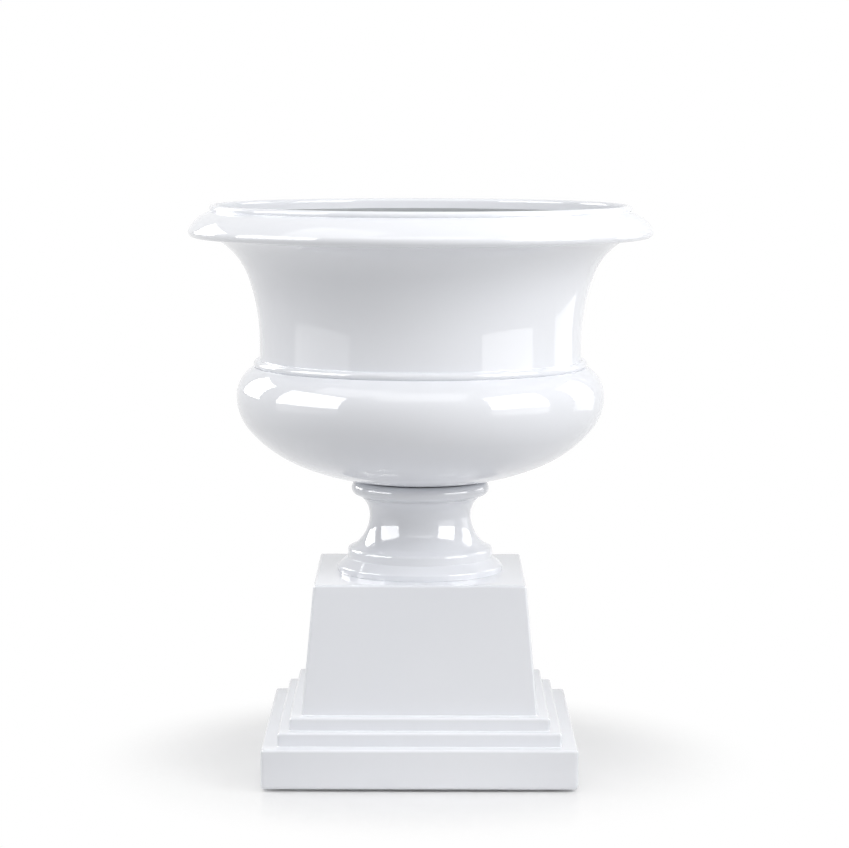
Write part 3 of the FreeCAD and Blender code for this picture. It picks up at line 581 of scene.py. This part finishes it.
def bellProfile(c, joint, shoulderR, beadR, waistR):
    wall = c["wall"]
    low, high = radians(c["angle"]), radians(c["flareAngle"])
    nose, ovolo = radians(c["noseAngle"]), radians(c["ovoloAngle"])
    beadZ = joint + c["beadDrop"]
    beadTop = beadZ + sqrt(c["beadRadius"] ** 2 - c["beadStep"] ** 2)
    waistZ = beadTop + c["waistStraight"]
    arcR = waistR + c["radius"] * (1 - cos(low))
    arcZ = waistZ + c["radius"] * sin(low)
    topR = arcR + c["flareRadius"] * (cos(low) - cos(high))
    topZ = arcZ + c["flareRadius"] * (sin(high) - sin(low))
    noseR = topR + c["soffitWidth"]
    soffitZ = topZ + c["soffitRise"]
    noseZ = soffitZ + c["noseRadius"]
    noseEnd = (noseR + c["noseRadius"] * cos(nose), noseZ + c["noseRadius"] * sin(nose))
    centre = (noseEnd[0] - c["ovoloRadius"] * cos(nose), noseEnd[1] - c["ovoloRadius"] * sin(nose))
    groove = (centre[0] + c["ovoloRadius"] * cos(ovolo), centre[1] + c["ovoloRadius"] * sin(ovolo))
    bead = c["mouthBeadRadius"]
    beadCentreZ = groove[1] + c["mouthBeadRise"]
    beadCentreR = groove[0] - sqrt(bead**2 - c["mouthBeadRise"] ** 2)
    mouthR = beadCentreR - bead
    lipZ = beadCentreZ - c["lipHeight"]
    shelfR = centre[0] + sqrt((c["ovoloRadius"] - wall) ** 2 - (lipZ - centre[1]) ** 2)
    innerNose = c["noseRadius"] - wall
    start = (waistR - wall, joint)
    steps = [
        ((shoulderR - c["creaseDepth"], joint), 0, 0),
        ((waistR, beadTop), c["beadRadius"], 1),
        ((waistR, waistZ), 0, 0),
        ((arcR, arcZ), c["radius"], -1),
        ((topR, topZ), c["flareRadius"], -1),
        ((noseR, soffitZ), 0, 0),
        (noseEnd, c["noseRadius"], 1),
        (groove, c["ovoloRadius"], 1),
        ((beadCentreR, beadCentreZ + bead), bead, 1),
        ((mouthR, beadCentreZ), bead, 1),
        ((mouthR, lipZ), 0, 0),
        ((shelfR, lipZ), 0, 0),
        ((noseR + innerNose * cos(nose), noseZ + innerNose * sin(nose)), c["ovoloRadius"] - wall, -1),
        ((noseR, soffitZ + wall), innerNose, -1),
        ((topR - wall * cos(high), topZ + wall * sin(high)), 0, 0),
        ((arcR - wall * cos(low), arcZ + wall * sin(low)), c["flareRadius"] + wall, 1),
        ((waistR - wall, waistZ), c["radius"] + wall, 1),
        (start, 0, 0),
    ]
    return easeCorners(tracePath(*withInside(start, steps, 11), 2.4), c["soft"])


bowlBase = webTop + bowl["gasket"]
bowlPath, joint, shoulderR, beadR, waistR = bowlProfile(bowl, bell, bowlBase, foot["stemHole"])
addTurnedShell("bowlShell", bowlPath, bowl["around"], "urn_bowl")
addTurnedShell("bellShell", bellProfile(bell, joint, shoulderR, beadR, waistR), bell["around"], "urn_bell")

# Finishes of the parts inside and underneath


def plyMaterial(look):
    # Marine ply: its edges show veneers of even height, its faces long wavering grain.
    material, tree, surface = newMaterial("marinePly")
    grain = noise(tree, objectPlace(tree, (14, 180, 14)), 1.0, 5, 0.6, 0.4)
    pores = noise(tree, objectPlace(tree, (60, 1400, 60)), 1.0, 2)
    patch = noise(tree, objectPlace(tree), 6.0, 2)
    place = addNode(tree, "TexCoord").outputs["Object"]
    height = addNode(tree, "SeparateXYZ", {0: place}).outputs["Z"]
    veneer = arithmetic(tree, "MULTIPLY", height, 1 / (look["veneer"] * mm))
    veneer = arithmetic(tree, "PINGPONG", arithmetic(tree, "ADD", veneer, 0.25), 1.0)
    tone = mixColour(tree, spread(tree, grain, 0, 1, 0.3, 0.72), look["pale"], look["brown"])
    tone = mixColour(tree, spread(tree, patch, 0, 0.5, 0.35, 0.7), tone, look["warm"])
    tone = mixColour(tree, spread(tree, veneer, 0, 0.35, 0.42, 0.58), tone, look["dark"])
    tone = mixColour(tree, spread(tree, pores, 0.3, 0, 0.3, 0.42), tone, look["dark"])
    tree.links.new(tone, surface.inputs["Base Color"])
    tree.links.new(spread(tree, grain, 0.42, 0.6), surface.inputs["Roughness"])
    normal = bump(tree, pores, 0.35, 0.0004)
    tree.links.new(bump(tree, grain, 0.25, 0.0005, normal), surface.inputs["Normal"])
    return material


def timberMaterial(look):
    # Softwood: rings round a line beside the block, bent by slow noise, with fine fibres along it.
    material, tree, surface = newMaterial("softwood")
    place = addNode(tree, "TexCoord").outputs["Object"]
    bend = addNode(tree, "TexNoise", {"Vector": place, "Scale": 12.0, "Detail": 2.0}).outputs["Color"]
    bent = addNode(tree, "VectorMath", {0: bend, 1: (0.012, 0.012, 0.012)}, operation="MULTIPLY").outputs[0]
    moved = addNode(tree, "VectorMath", {0: place, 1: bent}, operation="ADD").outputs[0]
    turned = addNode(tree, "Mapping", {"Vector": moved, "Location": (0.0, 0.0, 0.03), "Scale": (1, 0.04, 1)})
    inputs = {"Vector": turned.outputs[0], "Scale": look["ringScale"], "Distortion": 1.2, "Detail": 2.0}
    rings = addNode(tree, "TexWave", inputs, wave_type="RINGS", rings_direction="Y").outputs["Fac"]
    fibres = noise(tree, objectPlace(tree, (900, 30, 900)), 1.0, 3)
    tone = mixColour(tree, spread(tree, rings, 0, 1, 0.35, 0.95), look["pale"], look["ring"])
    tone = mixColour(tree, spread(tree, fibres, 0, 0.35), tone, look["dark"])
    tree.links.new(tone, surface.inputs["Base Color"])
    tree.links.new(spread(tree, fibres, 0.55, 0.75), surface.inputs["Roughness"])
    tree.links.new(bump(tree, fibres, 0.4, 0.0005), surface.inputs["Normal"])
    return material


def turnedPolymerMaterial(look):
    # Off-white board turned on a lathe: fine rings from the distance to the axis, and faint mottling.
    material, tree, surface = newMaterial("turnedPolymer")
    place = addNode(tree, "TexCoord").outputs["Object"]
    flat = addNode(tree, "VectorMath", {0: place, 1: (1, 1, 0)}, operation="MULTIPLY").outputs[0]
    away = addNode(tree, "VectorMath", {0: flat}, operation="LENGTH").outputs["Value"]
    groove = arithmetic(tree, "SINE", arithmetic(tree, "MULTIPLY", away, 2 * pi / (look["feed"] * mm)))
    mottle = noise(tree, objectPlace(tree), look["mottleScale"], 4)
    tone = mixColour(tree, spread(tree, mottle, 0, 1, 0.35, 0.65), look["pale"], look["grey"])
    tree.links.new(tone, surface.inputs["Base Color"])
    tree.links.new(spread(tree, mottle, 0.35, 0.5), surface.inputs["Roughness"])
    tree.links.new(bump(tree, groove, 0.15, 0.0001), surface.inputs["Normal"])
    return material


def mouldedMaterial(name, colour, worn, rough, grainScale, depth, polish=0.5):
    # Black moulded plastic or rubber: spark-eroded grain, patches of gloss, paler dust.
    material, tree, surface = newMaterial(name)
    place = objectPlace(tree)
    cloud = noise(tree, place, 55.0, 4)
    grain = noise(tree, place, grainScale, 3, 0.65)
    tone = mixColour(tree, spread(tree, cloud, 0, 1, 0.42, 0.75), colour, worn)
    tree.links.new(tone, surface.inputs["Base Color"])
    tree.links.new(spread(tree, cloud, rough - 0.08, rough + 0.1), surface.inputs["Roughness"])
    tree.links.new(bump(tree, grain, 0.4, depth), surface.inputs["Normal"])
    surface.inputs["Specular IOR Level"].default_value = polish
    return material


def metalMaterial(name, colour, tint, rough, brush, scratchScale):
    # Metal: brushed lines from noise stretched by the three factors in brush, and fine clouding.
    material, tree, surface = newMaterial(name)
    surface.inputs["Metallic"].default_value = 1.0
    lines = noise(tree, objectPlace(tree, brush), scratchScale, 4, 0.7)
    cloud = noise(tree, objectPlace(tree), 140.0, 3)
    tone = mixColour(tree, spread(tree, cloud, 0, 1, 0.35, 0.7), colour, tint)
    tree.links.new(tone, surface.inputs["Base Color"])
    tree.links.new(spread(tree, lines, rough - 0.07, rough + 0.13, 0.3, 0.7), surface.inputs["Roughness"])
    tree.links.new(bump(tree, lines, 0.25, 0.0001), surface.inputs["Normal"])
    return material


marinePly = plyMaterial({
    "pale": (0.60, 0.43, 0.27), "brown": (0.45, 0.28, 0.15), "warm": (0.56, 0.36, 0.20),
    "dark": (0.26, 0.15, 0.08), "veneer": 1.33})
softwood = timberMaterial({
    "pale": (0.72, 0.56, 0.36), "ring": (0.52, 0.34, 0.17), "dark": (0.40, 0.26, 0.13),
    "ringScale": 32.0})
turnedPolymer = turnedPolymerMaterial({
    "pale": (0.79, 0.785, 0.76), "grey": (0.70, 0.70, 0.685), "feed": 0.5, "mottleScale": 30.0})
blackFitting = mouldedMaterial(
    "blackFitting", (0.028, 0.028, 0.030), (0.06, 0.06, 0.06), 0.42, 1800.0, 0.0002)
blackRubber = mouldedMaterial(
    "blackRubber", (0.020, 0.020, 0.021), (0.05, 0.05, 0.048), 0.62, 1300.0, 0.0003, 0.35)
zincScrew = metalMaterial("zincScrew", (0.66, 0.68, 0.70), (0.70, 0.69, 0.60), 0.30, (1, 1, 1), 900.0)
stainlessSteel = metalMaterial(
    "stainlessSteel", (0.70, 0.70, 0.71), (0.62, 0.62, 0.63), 0.24, (8, 1, 40), 60.0)

for node, material in {
    "top_board": marinePly, "base_panel": marinePly, "foot_ring": marinePly,
    "corner_block_1": softwood, "corner_block_2": softwood,
    "corner_block_3": softwood, "corner_block_4": softwood,
    "locating_ring": turnedPolymer, "bowl_gasket": blackRubber, "flange_seal": blackRubber,
    "drain_bung": blackRubber, "clamp_washer": stainlessSteel,
}.items():
    mesh = nodes[node].data
    if not mesh.materials:
        mesh.materials.append(material)
    for slot in nodes[node].material_slots:
        slot.material = material
print("finishes set on the CAD nodes that stay")

# Screws: head with a cross recess, threaded shaft


def poleFaces(count, around):
    # Quads between open rings, and a fan to the last two points, one at each end.
    faces = ringFaces(count, around)[: (count - 1) * around].tolist()
    low, high = count * around, count * around + 1
    step = np.arange(around)
    following = (step + 1) % around
    last = (count - 1) * around
    faces += np.stack([following, step, low + 0 * step], 1).tolist()
    faces += np.stack([last + step, last + following, high + 0 * step], 1).tolist()
    return faces


def threadRadius(height, angle, crest, depth, pitch):
    # A ridge that climbs one pitch a turn: the crest less a rounded triangle wave of height over
    # pitch less the turn.
    phase = (height / pitch - angle / (2 * pi)) % 1
    return crest - depth * np.clip(1.5 * np.abs(2 * phase - 1) - 0.1, 0, 1)


def screwPoints(look, length, sunk, around=48):
    # Along +Z from the tip at -length to the head's top at 0: a pointed threaded shaft, a cone or
    # a low drum for a head, and a cross pressed into the head's top.
    top = look["head"]
    neck = -look["sink"] if sunk else -look["drum"]
    angle = np.linspace(0, 2 * pi, around, endpoint=False)
    shaft = np.arange(-length + 0.15, neck - 0.05, look["pitch"] / 6)
    grow = np.clip((shaft + length) / look["point"], 0.1, 1)[:, None]
    radius = threadRadius(shaft[:, None], angle, look["shaft"], look["thread"], look["pitch"]) * grow
    rim = np.linspace(0, pi / 2, 4)
    ease = 0.25 if sunk else 0.5
    under = (top, -look["land"]) if sunk else (top - 0.1, neck + 0.1)
    headR = np.concatenate([[look["shaft"] - look["thread"], under[0]], top - ease + ease * np.cos(rim)])
    headZ = np.concatenate([[neck, under[1]], -ease + ease * np.sin(rim)])
    across = np.linspace(top - ease, 0, 15)[1:-1]
    x, y = across[:, None] * np.cos(angle), across[:, None] * np.sin(angle)
    arm = np.minimum(np.abs(x), np.abs(y))
    reach = np.maximum(np.abs(x), np.abs(y))
    cross = np.clip((look["slot"] - arm) / 0.25, 0, 1) * np.clip((look["reach"] - reach) / 0.5, 0, 1)
    rings = np.concatenate([radius, headR[:, None] + 0 * angle, across[:, None] + 0 * angle])
    levels = np.concatenate([shaft[:, None] + 0 * angle, headZ[:, None] + 0 * angle, -look["recess"] * cross])
    grid = np.stack([rings * np.cos(angle), rings * np.sin(angle), levels], -1).reshape(-1, 3)
    ends = np.array([[0, 0, -length], [0, 0, -look["recess"]]])
    return np.concatenate([grid, ends]), len(rings), around


def addScrews(name, look, length, sunk, places, height, up, stands):
    # One mesh of equal screws: each is turned about its own axis by a different angle.
    one, count, around = screwPoints(look, length, sunk)
    single = poleFaces(count, around)
    points, faces = [], []
    for number, (x, y) in enumerate(places):
        turn = 0.7 * number + 0.3
        spun = np.stack([one[:, 0] * cos(turn) - one[:, 1] * sin(turn),
                         one[:, 0] * sin(turn) + one[:, 1] * cos(turn), one[:, 2]], 1)
        if not up:
            spun = spun * (1, -1, -1)
        points.append(spun + (x, y, height))
        faces += [[corner + number * len(one) for corner in face] for face in single]
    return addMesh(name, np.concatenate(points), faces, zincScrew, "plinth", [stands])


screw = {
    "shaft": 2.2,
    "thread": 0.45,
    "pitch": 1.6,
    "point": 5.0,
    "head": 4.4,
    "sink": 2.4,
    "land": 0.3,
    "drum": 1.6,
    "slot": 0.55,
    "reach": 2.6,
    "recess": 1.1,
}
locatingRing = {"height": 16.0, "screwCircle": 46.0}


def fourCorners(out):
    return [(out, out), (-out, out), (-out, -out), (out, -out)]


circle = locatingRing["screwCircle"]
compass = [(circle, 0), (0, circle), (-circle, 0), (0, -circle)]
padPlaces = fourCorners(173.0)
screwSets = {
    # name: (length, countersunk, places, height of the head's top, head up, node)
    "locatingScrews": (28.0, True, compass, foot["base"] + locatingRing["height"], True, "locating_screws"),
    "panelScrews": (19.6, False, fourCorners(147.0), 2.4, False, "panel_screws"),
    "padScrews": (25.6, False, padPlaces, 0.4, False, "pad_screws"),
}
for name, values in screwSets.items():
    addScrews(name, screw, *values)
print("screws added")

# Rubber floor pads with eased edges, a groove round the underside and a recess for the screw

pad = {
    "radius": 12.0,
    "height": 3.0,
    "web": 1.0,
    "recess": 5.0,
    "hole": 2.3,
    "groove": (2.2, 1.4, 0.35),  # its two edges, in from the side, and its depth
    "taper": 0.4,
    "soft": 0.5,
    "around": 96,
}


def padProfile(p):
    radius, height, web = p["radius"], p["height"], p["web"]
    inner, outer, depth = p["groove"]
    start = (p["recess"], 0)
    steps = [
        ((radius - inner, 0), 0, 0),
        ((radius - (inner + outer) / 2, depth), 0, 0),
        ((radius - outer, 0), 0, 0),
        ((radius - p["taper"], 0), 0, 0),
        ((radius, height), 0, 0),
        ((p["hole"], height), 0, 0),
        ((p["hole"], height - web), 0, 0),
        ((p["recess"], height - web), 0, 0),
        (start, 0, 0),
    ]
    return easeCorners(tracePath(start, steps), p["soft"])


padPath = padProfile(pad)
for number, (x, y) in enumerate(padPlaces, 1):
    points = turnedPoints(padPath, pad["around"]) + (x, y, 0)
    addMesh(f"floorPad{number}", points, ringFaces(len(padPath), pad["around"]), blackRubber, "plinth",
            [f"floor_pad_{number}"])
print("floor pads added")

# Drain: flanged fitting with a threaded stem, hexagon nut, pull ring of the bung

drain = {
    "bore": 9.5,
    "stem": 13.2,
    "flange": 30.0,
    "flangeHeight": 4.0,
    "seal": 2.0,  # thickness of the rubber ring below the flange
    "rounding": 1.5,
    "groove": (6.0, 8.0, 0.35),  # round the flange's top: in from its edge, and depth
    "chamfer": 0.6,
    "boreEase": 0.8,
    "length": 42.0,
    "thread": 0.9,
    "pitch": 2.5,
    "plain": 3.0,  # stem without thread below the flange
    "soft": 0.35,
    "around": 128,
}
drainTop = bowlBase + bowl["wall"] + drain["seal"] + drain["flangeHeight"]


def fittingPoints(d, top):
    # A turned profile whose stem radius follows the thread below the flange and a short run-out.
    bottom = top - d["length"]
    under = top - d["flangeHeight"]
    edge, cut = d["flange"], d["chamfer"]
    grooveOut, grooveIn, depth = d["groove"]
    start = (d["bore"], bottom)
    steps = [
        ((d["stem"] - cut, bottom), 0, 0),
        ((d["stem"], bottom + cut), 0, 0),
        ((d["stem"], under), 0, 0),
        ((edge, under), 0, 0),
        ((edge, top - d["rounding"]), 0, 0),
        ((edge - d["rounding"], top), d["rounding"], 1),
        ((edge - grooveOut, top), 0, 0),
        ((edge - grooveOut - 0.5, top - depth), 0, 0),
        ((edge - grooveIn + 0.5, top - depth), 0, 0),
        ((edge - grooveIn, top), 0, 0),
        ((d["bore"] + d["boreEase"], top), 0, 0),
        ((d["bore"], top - d["boreEase"]), 0, 0),
        (start, 0, 0),
    ]
    path = easeCorners(tracePath(start, steps, 0.4), d["soft"])
    angle = np.linspace(0, 2 * pi, d["around"], endpoint=False)
    radius = path[:, 0, None] + 0 * angle
    height = path[:, 1, None] + 0 * angle
    onStem = np.abs(path[:, 0] - d["stem"]) < 0.01
    ridge = d["stem"] - threadRadius(height, angle, d["stem"], d["thread"], d["pitch"])
    fade = np.clip((under - d["plain"] - height) / 2, 0, 1)
    radius = np.where(onStem[:, None], radius - ridge * fade, radius)
    grid = [radius * np.cos(angle), radius * np.sin(angle), height]
    return np.stack(grid, -1).reshape(-1, 3), len(path)


points, count = fittingPoints(drain, drainTop)
addMesh("drainFitting", points, ringFaces(count, drain["around"]), blackFitting, "urn",
        ["drain_fitting"])

nut = {
    "width": 40.0,
    "height": 9.0,
    "bore": 13.5,
    "boreEase": 0.6,
    "corner": 22.4,
    "cornerCut": 1.4,
    "chamfer": 30.0,
    "washer": 2.0,
    "around": 144,
}


def nutPoints(n, top):
    # The side is the lesser of a hexagon, half width over cos of the angle from the nearest face,
    # and a cone at each end that trims its corners.
    bottom = top - n["height"]
    half = n["width"] / 2
    angle = np.linspace(0, 2 * pi, n["around"], endpoint=False)
    fromFace = (angle + pi / 6) % (pi / 3) - pi / 6
    hexagon = half / np.cos(fromFace)
    height = np.linspace(bottom, top, 13)
    fromEnd = np.minimum(height - bottom, top - height)
    cone = n["corner"] - n["cornerCut"] + fromEnd / tan(radians(n["chamfer"]))
    side = np.minimum(np.minimum(hexagon, cone[:, None]), n["corner"])
    bore = n["bore"] + 0 * angle
    ease = n["boreEase"]
    eased = bore + ease
    rings = np.concatenate([side, eased[None], bore[None], bore[None], eased[None]])
    levels = np.concatenate([height, [top, top - ease, bottom + ease, bottom]])[:, None] + 0 * angle
    grid = [rings * np.cos(angle), rings * np.sin(angle), levels]
    return np.stack(grid, -1).reshape(-1, 3), len(rings)


nutTop = bowlBase - bowl["gasket"] - foot["wall"] - nut["washer"]
points, count = nutPoints(nut, nutTop)
lockNut = addMesh("lockNut", points, ringFaces(count, nut["around"]), blackFitting, "urn",
                  ["lock_nut"])
lockNut.data.set_sharp_from_angle(angle=radians(35))

pullRing = {
    "radius": 13.0,
    "wire": 1.3,
    "centre": (0.0, -13.0, 395.7),
    "gap": 0.18,  # share of the wire taken away where its ends meet
    "around": 240,
    "section": 20,
}


def ringPoints(p):
    # A circle of wire: a small circle carried round a large one, pinched a little where its two
    # ends are butted together.
    turn = np.linspace(0, 2 * pi, p["around"], endpoint=False)[:, None]
    lap = np.linspace(0, 2 * pi, p["section"], endpoint=False)
    wire = p["wire"] * (1 - p["gap"] * np.exp(-((turn - 1.5 * pi) * p["radius"] / 0.25) ** 2))
    out = p["radius"] + wire * np.cos(lap)
    grid = [out * np.cos(turn), out * np.sin(turn), wire * np.sin(lap) + 0 * turn]
    return np.stack(grid, -1).reshape(-1, 3) + p["centre"]


def tubeFaces(around, section):
    # Quads round both ways of a ring.
    big, small = np.meshgrid(np.arange(around), np.arange(section), indexing="ij")
    nextBig, nextSmall = (big + 1) % around, (small + 1) % section
    corners = [big * section + small, nextBig * section + small,
               nextBig * section + nextSmall, big * section + nextSmall]
    return np.stack(corners, -1).reshape(-1, 4)


addMesh("pullRing", ringPoints(pullRing), tubeFaces(pullRing["around"], pullRing["section"]),
        stainlessSteel, "pull_ring", ["pull_ring"])
print("drain fitting, nut and ring added")

# Floor, light and camera

studio = {
    "floorSize": 60000.0,
    "floorColour": 0.82,
    "floorRoughness": 0.16,
    "floorGloss": 0.5,
    "nearFloor": 215.0,  # inside this the floor takes light and shadow
    "farFloor": 470.0,  # beyond this it is plain white
    "farBounce": 0.67,  # and gives the urn this much light
    "underGlow": 0.4,  # light from below on the plinth's underside
    "underHalf": 183.0,  # half the width of the square that gives it
    "ambient": 0.22,
    "eye": (4.7, -3914.2, 876.9),
    "pitch": 6.139,
    "roll": -0.12,
    "lens": 124.36,
}

# Azimuth 0 is towards the camera and 90 to its right. A window stands upright: its two
# elevations and half width are angles seen from the middle of the urn, and only gloss sees it.
# The sills are dim strips below the windows.
windows = {
    # name: (azimuth, low, high, half width, distance, brightness)
    "windowLeft": (-72.5, 4, 36, 23.5, 2200, 10.0),
    "windowLeftBack": (-127, 4, 31, 13, 2200, 9.0),
    "windowRight": (62.5, 4, 38, 20.5, 2200, 10.0),
    "windowRightBack": (119, 5, 33, 13, 2200, 5.0),
    "sillLeft": (-72.5, -10, 3, 23.5, 2200, 1.0),
    "sillRight": (62.5, -10, 3, 20.5, 2200, 2.0),
    "sillRightBack": (119, -10, 4, 13, 2200, 1.3),
}

# A softbox faces the middle of the urn.
softboxes = {
    # name: (azimuth, elevation, width, height, distance, brightness, seen in gloss)
    "frontHigh": (0, 45, 2400, 1200, 2700, 1.95, True),
    "frontLeft": (-50, 25, 1400, 1400, 2600, 0.4, False),
    "topFront": (0, 68, 1600, 900, 2600, 1.5, False),
    "topLeft": (-60, 55, 1900, 1900, 3200, 1.8, True),
    "right": (61, 26, 1200, 1200, 2100, 4.7, False),
    "left": (-95, 30, 1400, 1400, 2400, 2.2, False),
    "sideRight": (95, 35, 1400, 1400, 2400, 0.9, False),
    "back": (180, 35, 2400, 1400, 2600, 0.3, False),
}
middle = Vector((0, 0, 0.45))


def addLamp(name, place, aim, width, height, brightness):
    # A rectangle that faces its aim; its power is brightness times pi times its area.
    data = bpy.data.lights.new(name, "AREA")
    data.shape = "RECTANGLE"
    data.size, data.size_y = width * mm, height * mm
    data.energy = brightness * pi * data.size * data.size_y
    lamp = bpy.data.objects.new(name, data)
    lamp.location = place
    lamp.rotation_euler = (aim - place).to_track_quat("-Z", "Y").to_euler()
    lamp.visible_camera = False
    bpy.context.scene.collection.objects.link(lamp)
    return lamp


for name, (azimuth, low, high, half, distance, brightness) in windows.items():
    turn = radians(azimuth)
    bottom, top = (distance * tan(radians(angle)) for angle in (low, high))
    level = Vector((0, 0, (bottom + top) / 2 * mm)) + middle
    place = level + Vector((sin(turn), -cos(turn), 0)) * distance * mm
    lamp = addLamp(name, place, level, 2 * distance * tan(radians(half)), top - bottom, brightness)
    lamp.visible_diffuse = False
for name, (azimuth, elevation, width, height, distance, brightness, inGloss) in softboxes.items():
    turn, rise = radians(azimuth), radians(elevation)
    way = Vector((sin(turn) * cos(rise), -cos(turn) * cos(rise), sin(rise)))
    lamp = addLamp(name, middle + way * distance * mm, middle, width, height, brightness)
    lamp.visible_glossy = inGloss

reach = studio["floorSize"] / 2 * mm
floorMesh = bpy.data.meshes.new("floor")
corners = [(-reach, -reach, 0), (reach, -reach, 0), (reach, reach, 0), (-reach, reach, 0)]
floorMesh.from_pydata(corners, [], [(0, 1, 2, 3)])
floor = bpy.data.objects.new("floor", floorMesh)
bpy.context.scene.collection.objects.link(floor)
floor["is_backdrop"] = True


def seenDirectly(tree):
    # 1 for what the camera sees, straight or in gloss or glass.
    path = addNode(tree, "LightPath")
    seen = arithmetic(tree, "MAXIMUM", path.outputs["Is Camera Ray"], path.outputs["Is Glossy Ray"])
    return arithmetic(tree, "MAXIMUM", seen, path.outputs["Is Transmission Ray"])


def floorMaterial(look):
    # Pale polished floor: near the plinth it takes light and shadow, further out it turns to
    # plain white. It lights the plinth's underside, and lets views from below pass.
    material, tree, surface = newMaterial("floorPaint")
    surface.inputs["Base Color"].default_value = (*[look["floorColour"]] * 3, 1)
    surface.inputs["Roughness"].default_value = look["floorRoughness"]
    surface.inputs["Specular IOR Level"].default_value = look["floorGloss"]
    glow = spread(tree, seenDirectly(tree), look["farBounce"], 1.0)
    white = addNode(tree, "Emission", {"Strength": glow})
    place = addNode(tree, "TexCoord").outputs["Object"]
    away = addNode(tree, "VectorMath", {0: place}, operation="LENGTH").outputs["Value"]
    share = addNode(tree, "MapRange", {"Value": away, "From Min": look["nearFloor"] * mm,
                                       "From Max": look["farFloor"] * mm}, interpolation_type="SMOOTHSTEP")
    parts = addNode(tree, "SeparateXYZ", {0: place}).outputs
    fromMiddle = arithmetic(tree, "MAXIMUM", *[arithmetic(tree, "ABSOLUTE", parts[axis]) for axis in "XY"])
    under = arithmetic(tree, "LESS_THAN", fromMiddle, look["underHalf"] * mm)
    under = arithmetic(tree, "MULTIPLY", under, addNode(tree, "LightPath").outputs["Is Diffuse Ray"])
    lit = addNode(tree, "Emission", {"Strength": arithmetic(tree, "MULTIPLY", under, look["underGlow"])})
    near = addNode(tree, "AddShader", {0: surface.outputs[0], 1: lit.outputs[0]})
    mixed = addNode(tree, "MixShader", {0: share.outputs[0], 1: near.outputs[0], 2: white.outputs[0]})
    clear = addNode(tree, "BsdfTransparent")
    back = addNode(tree, "NewGeometry").outputs["Backfacing"]
    final = addNode(tree, "MixShader", {0: back, 1: mixed.outputs[0], 2: clear.outputs[0]})
    output = next(node for node in tree.nodes if node.bl_idname == "ShaderNodeOutputMaterial")
    tree.links.new(final.outputs[0], output.inputs["Surface"])
    return material


floorMesh.materials.append(floorMaterial(studio))

world = bpy.data.worlds.new("studio")
bpy.context.scene.world = world
world.use_nodes = True
tree = world.node_tree
tree.nodes.clear()
strength = spread(tree, seenDirectly(tree), studio["ambient"], 1.0)
sky = addNode(tree, "Background", {"Color": (1, 1, 1, 1), "Strength": strength})
addNode(tree, "OutputWorld", {"Surface": sky.outputs[0]})

cameraData = bpy.data.cameras.new("camera")
cameraData.sensor_width = 36.0
cameraData.lens = studio["lens"]
cameraData.clip_start, cameraData.clip_end = 0.1, 100.0
camera = bpy.data.objects.new("camera", cameraData)
camera.location = Vector(studio["eye"]) * mm
camera.rotation_euler = (radians(90 - studio["pitch"]), radians(studio["roll"]), 0)
bpy.context.scene.collection.objects.link(camera)
bpy.context.scene.camera = camera
bpy.context.scene.view_settings.view_transform = "Standard"

low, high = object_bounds()
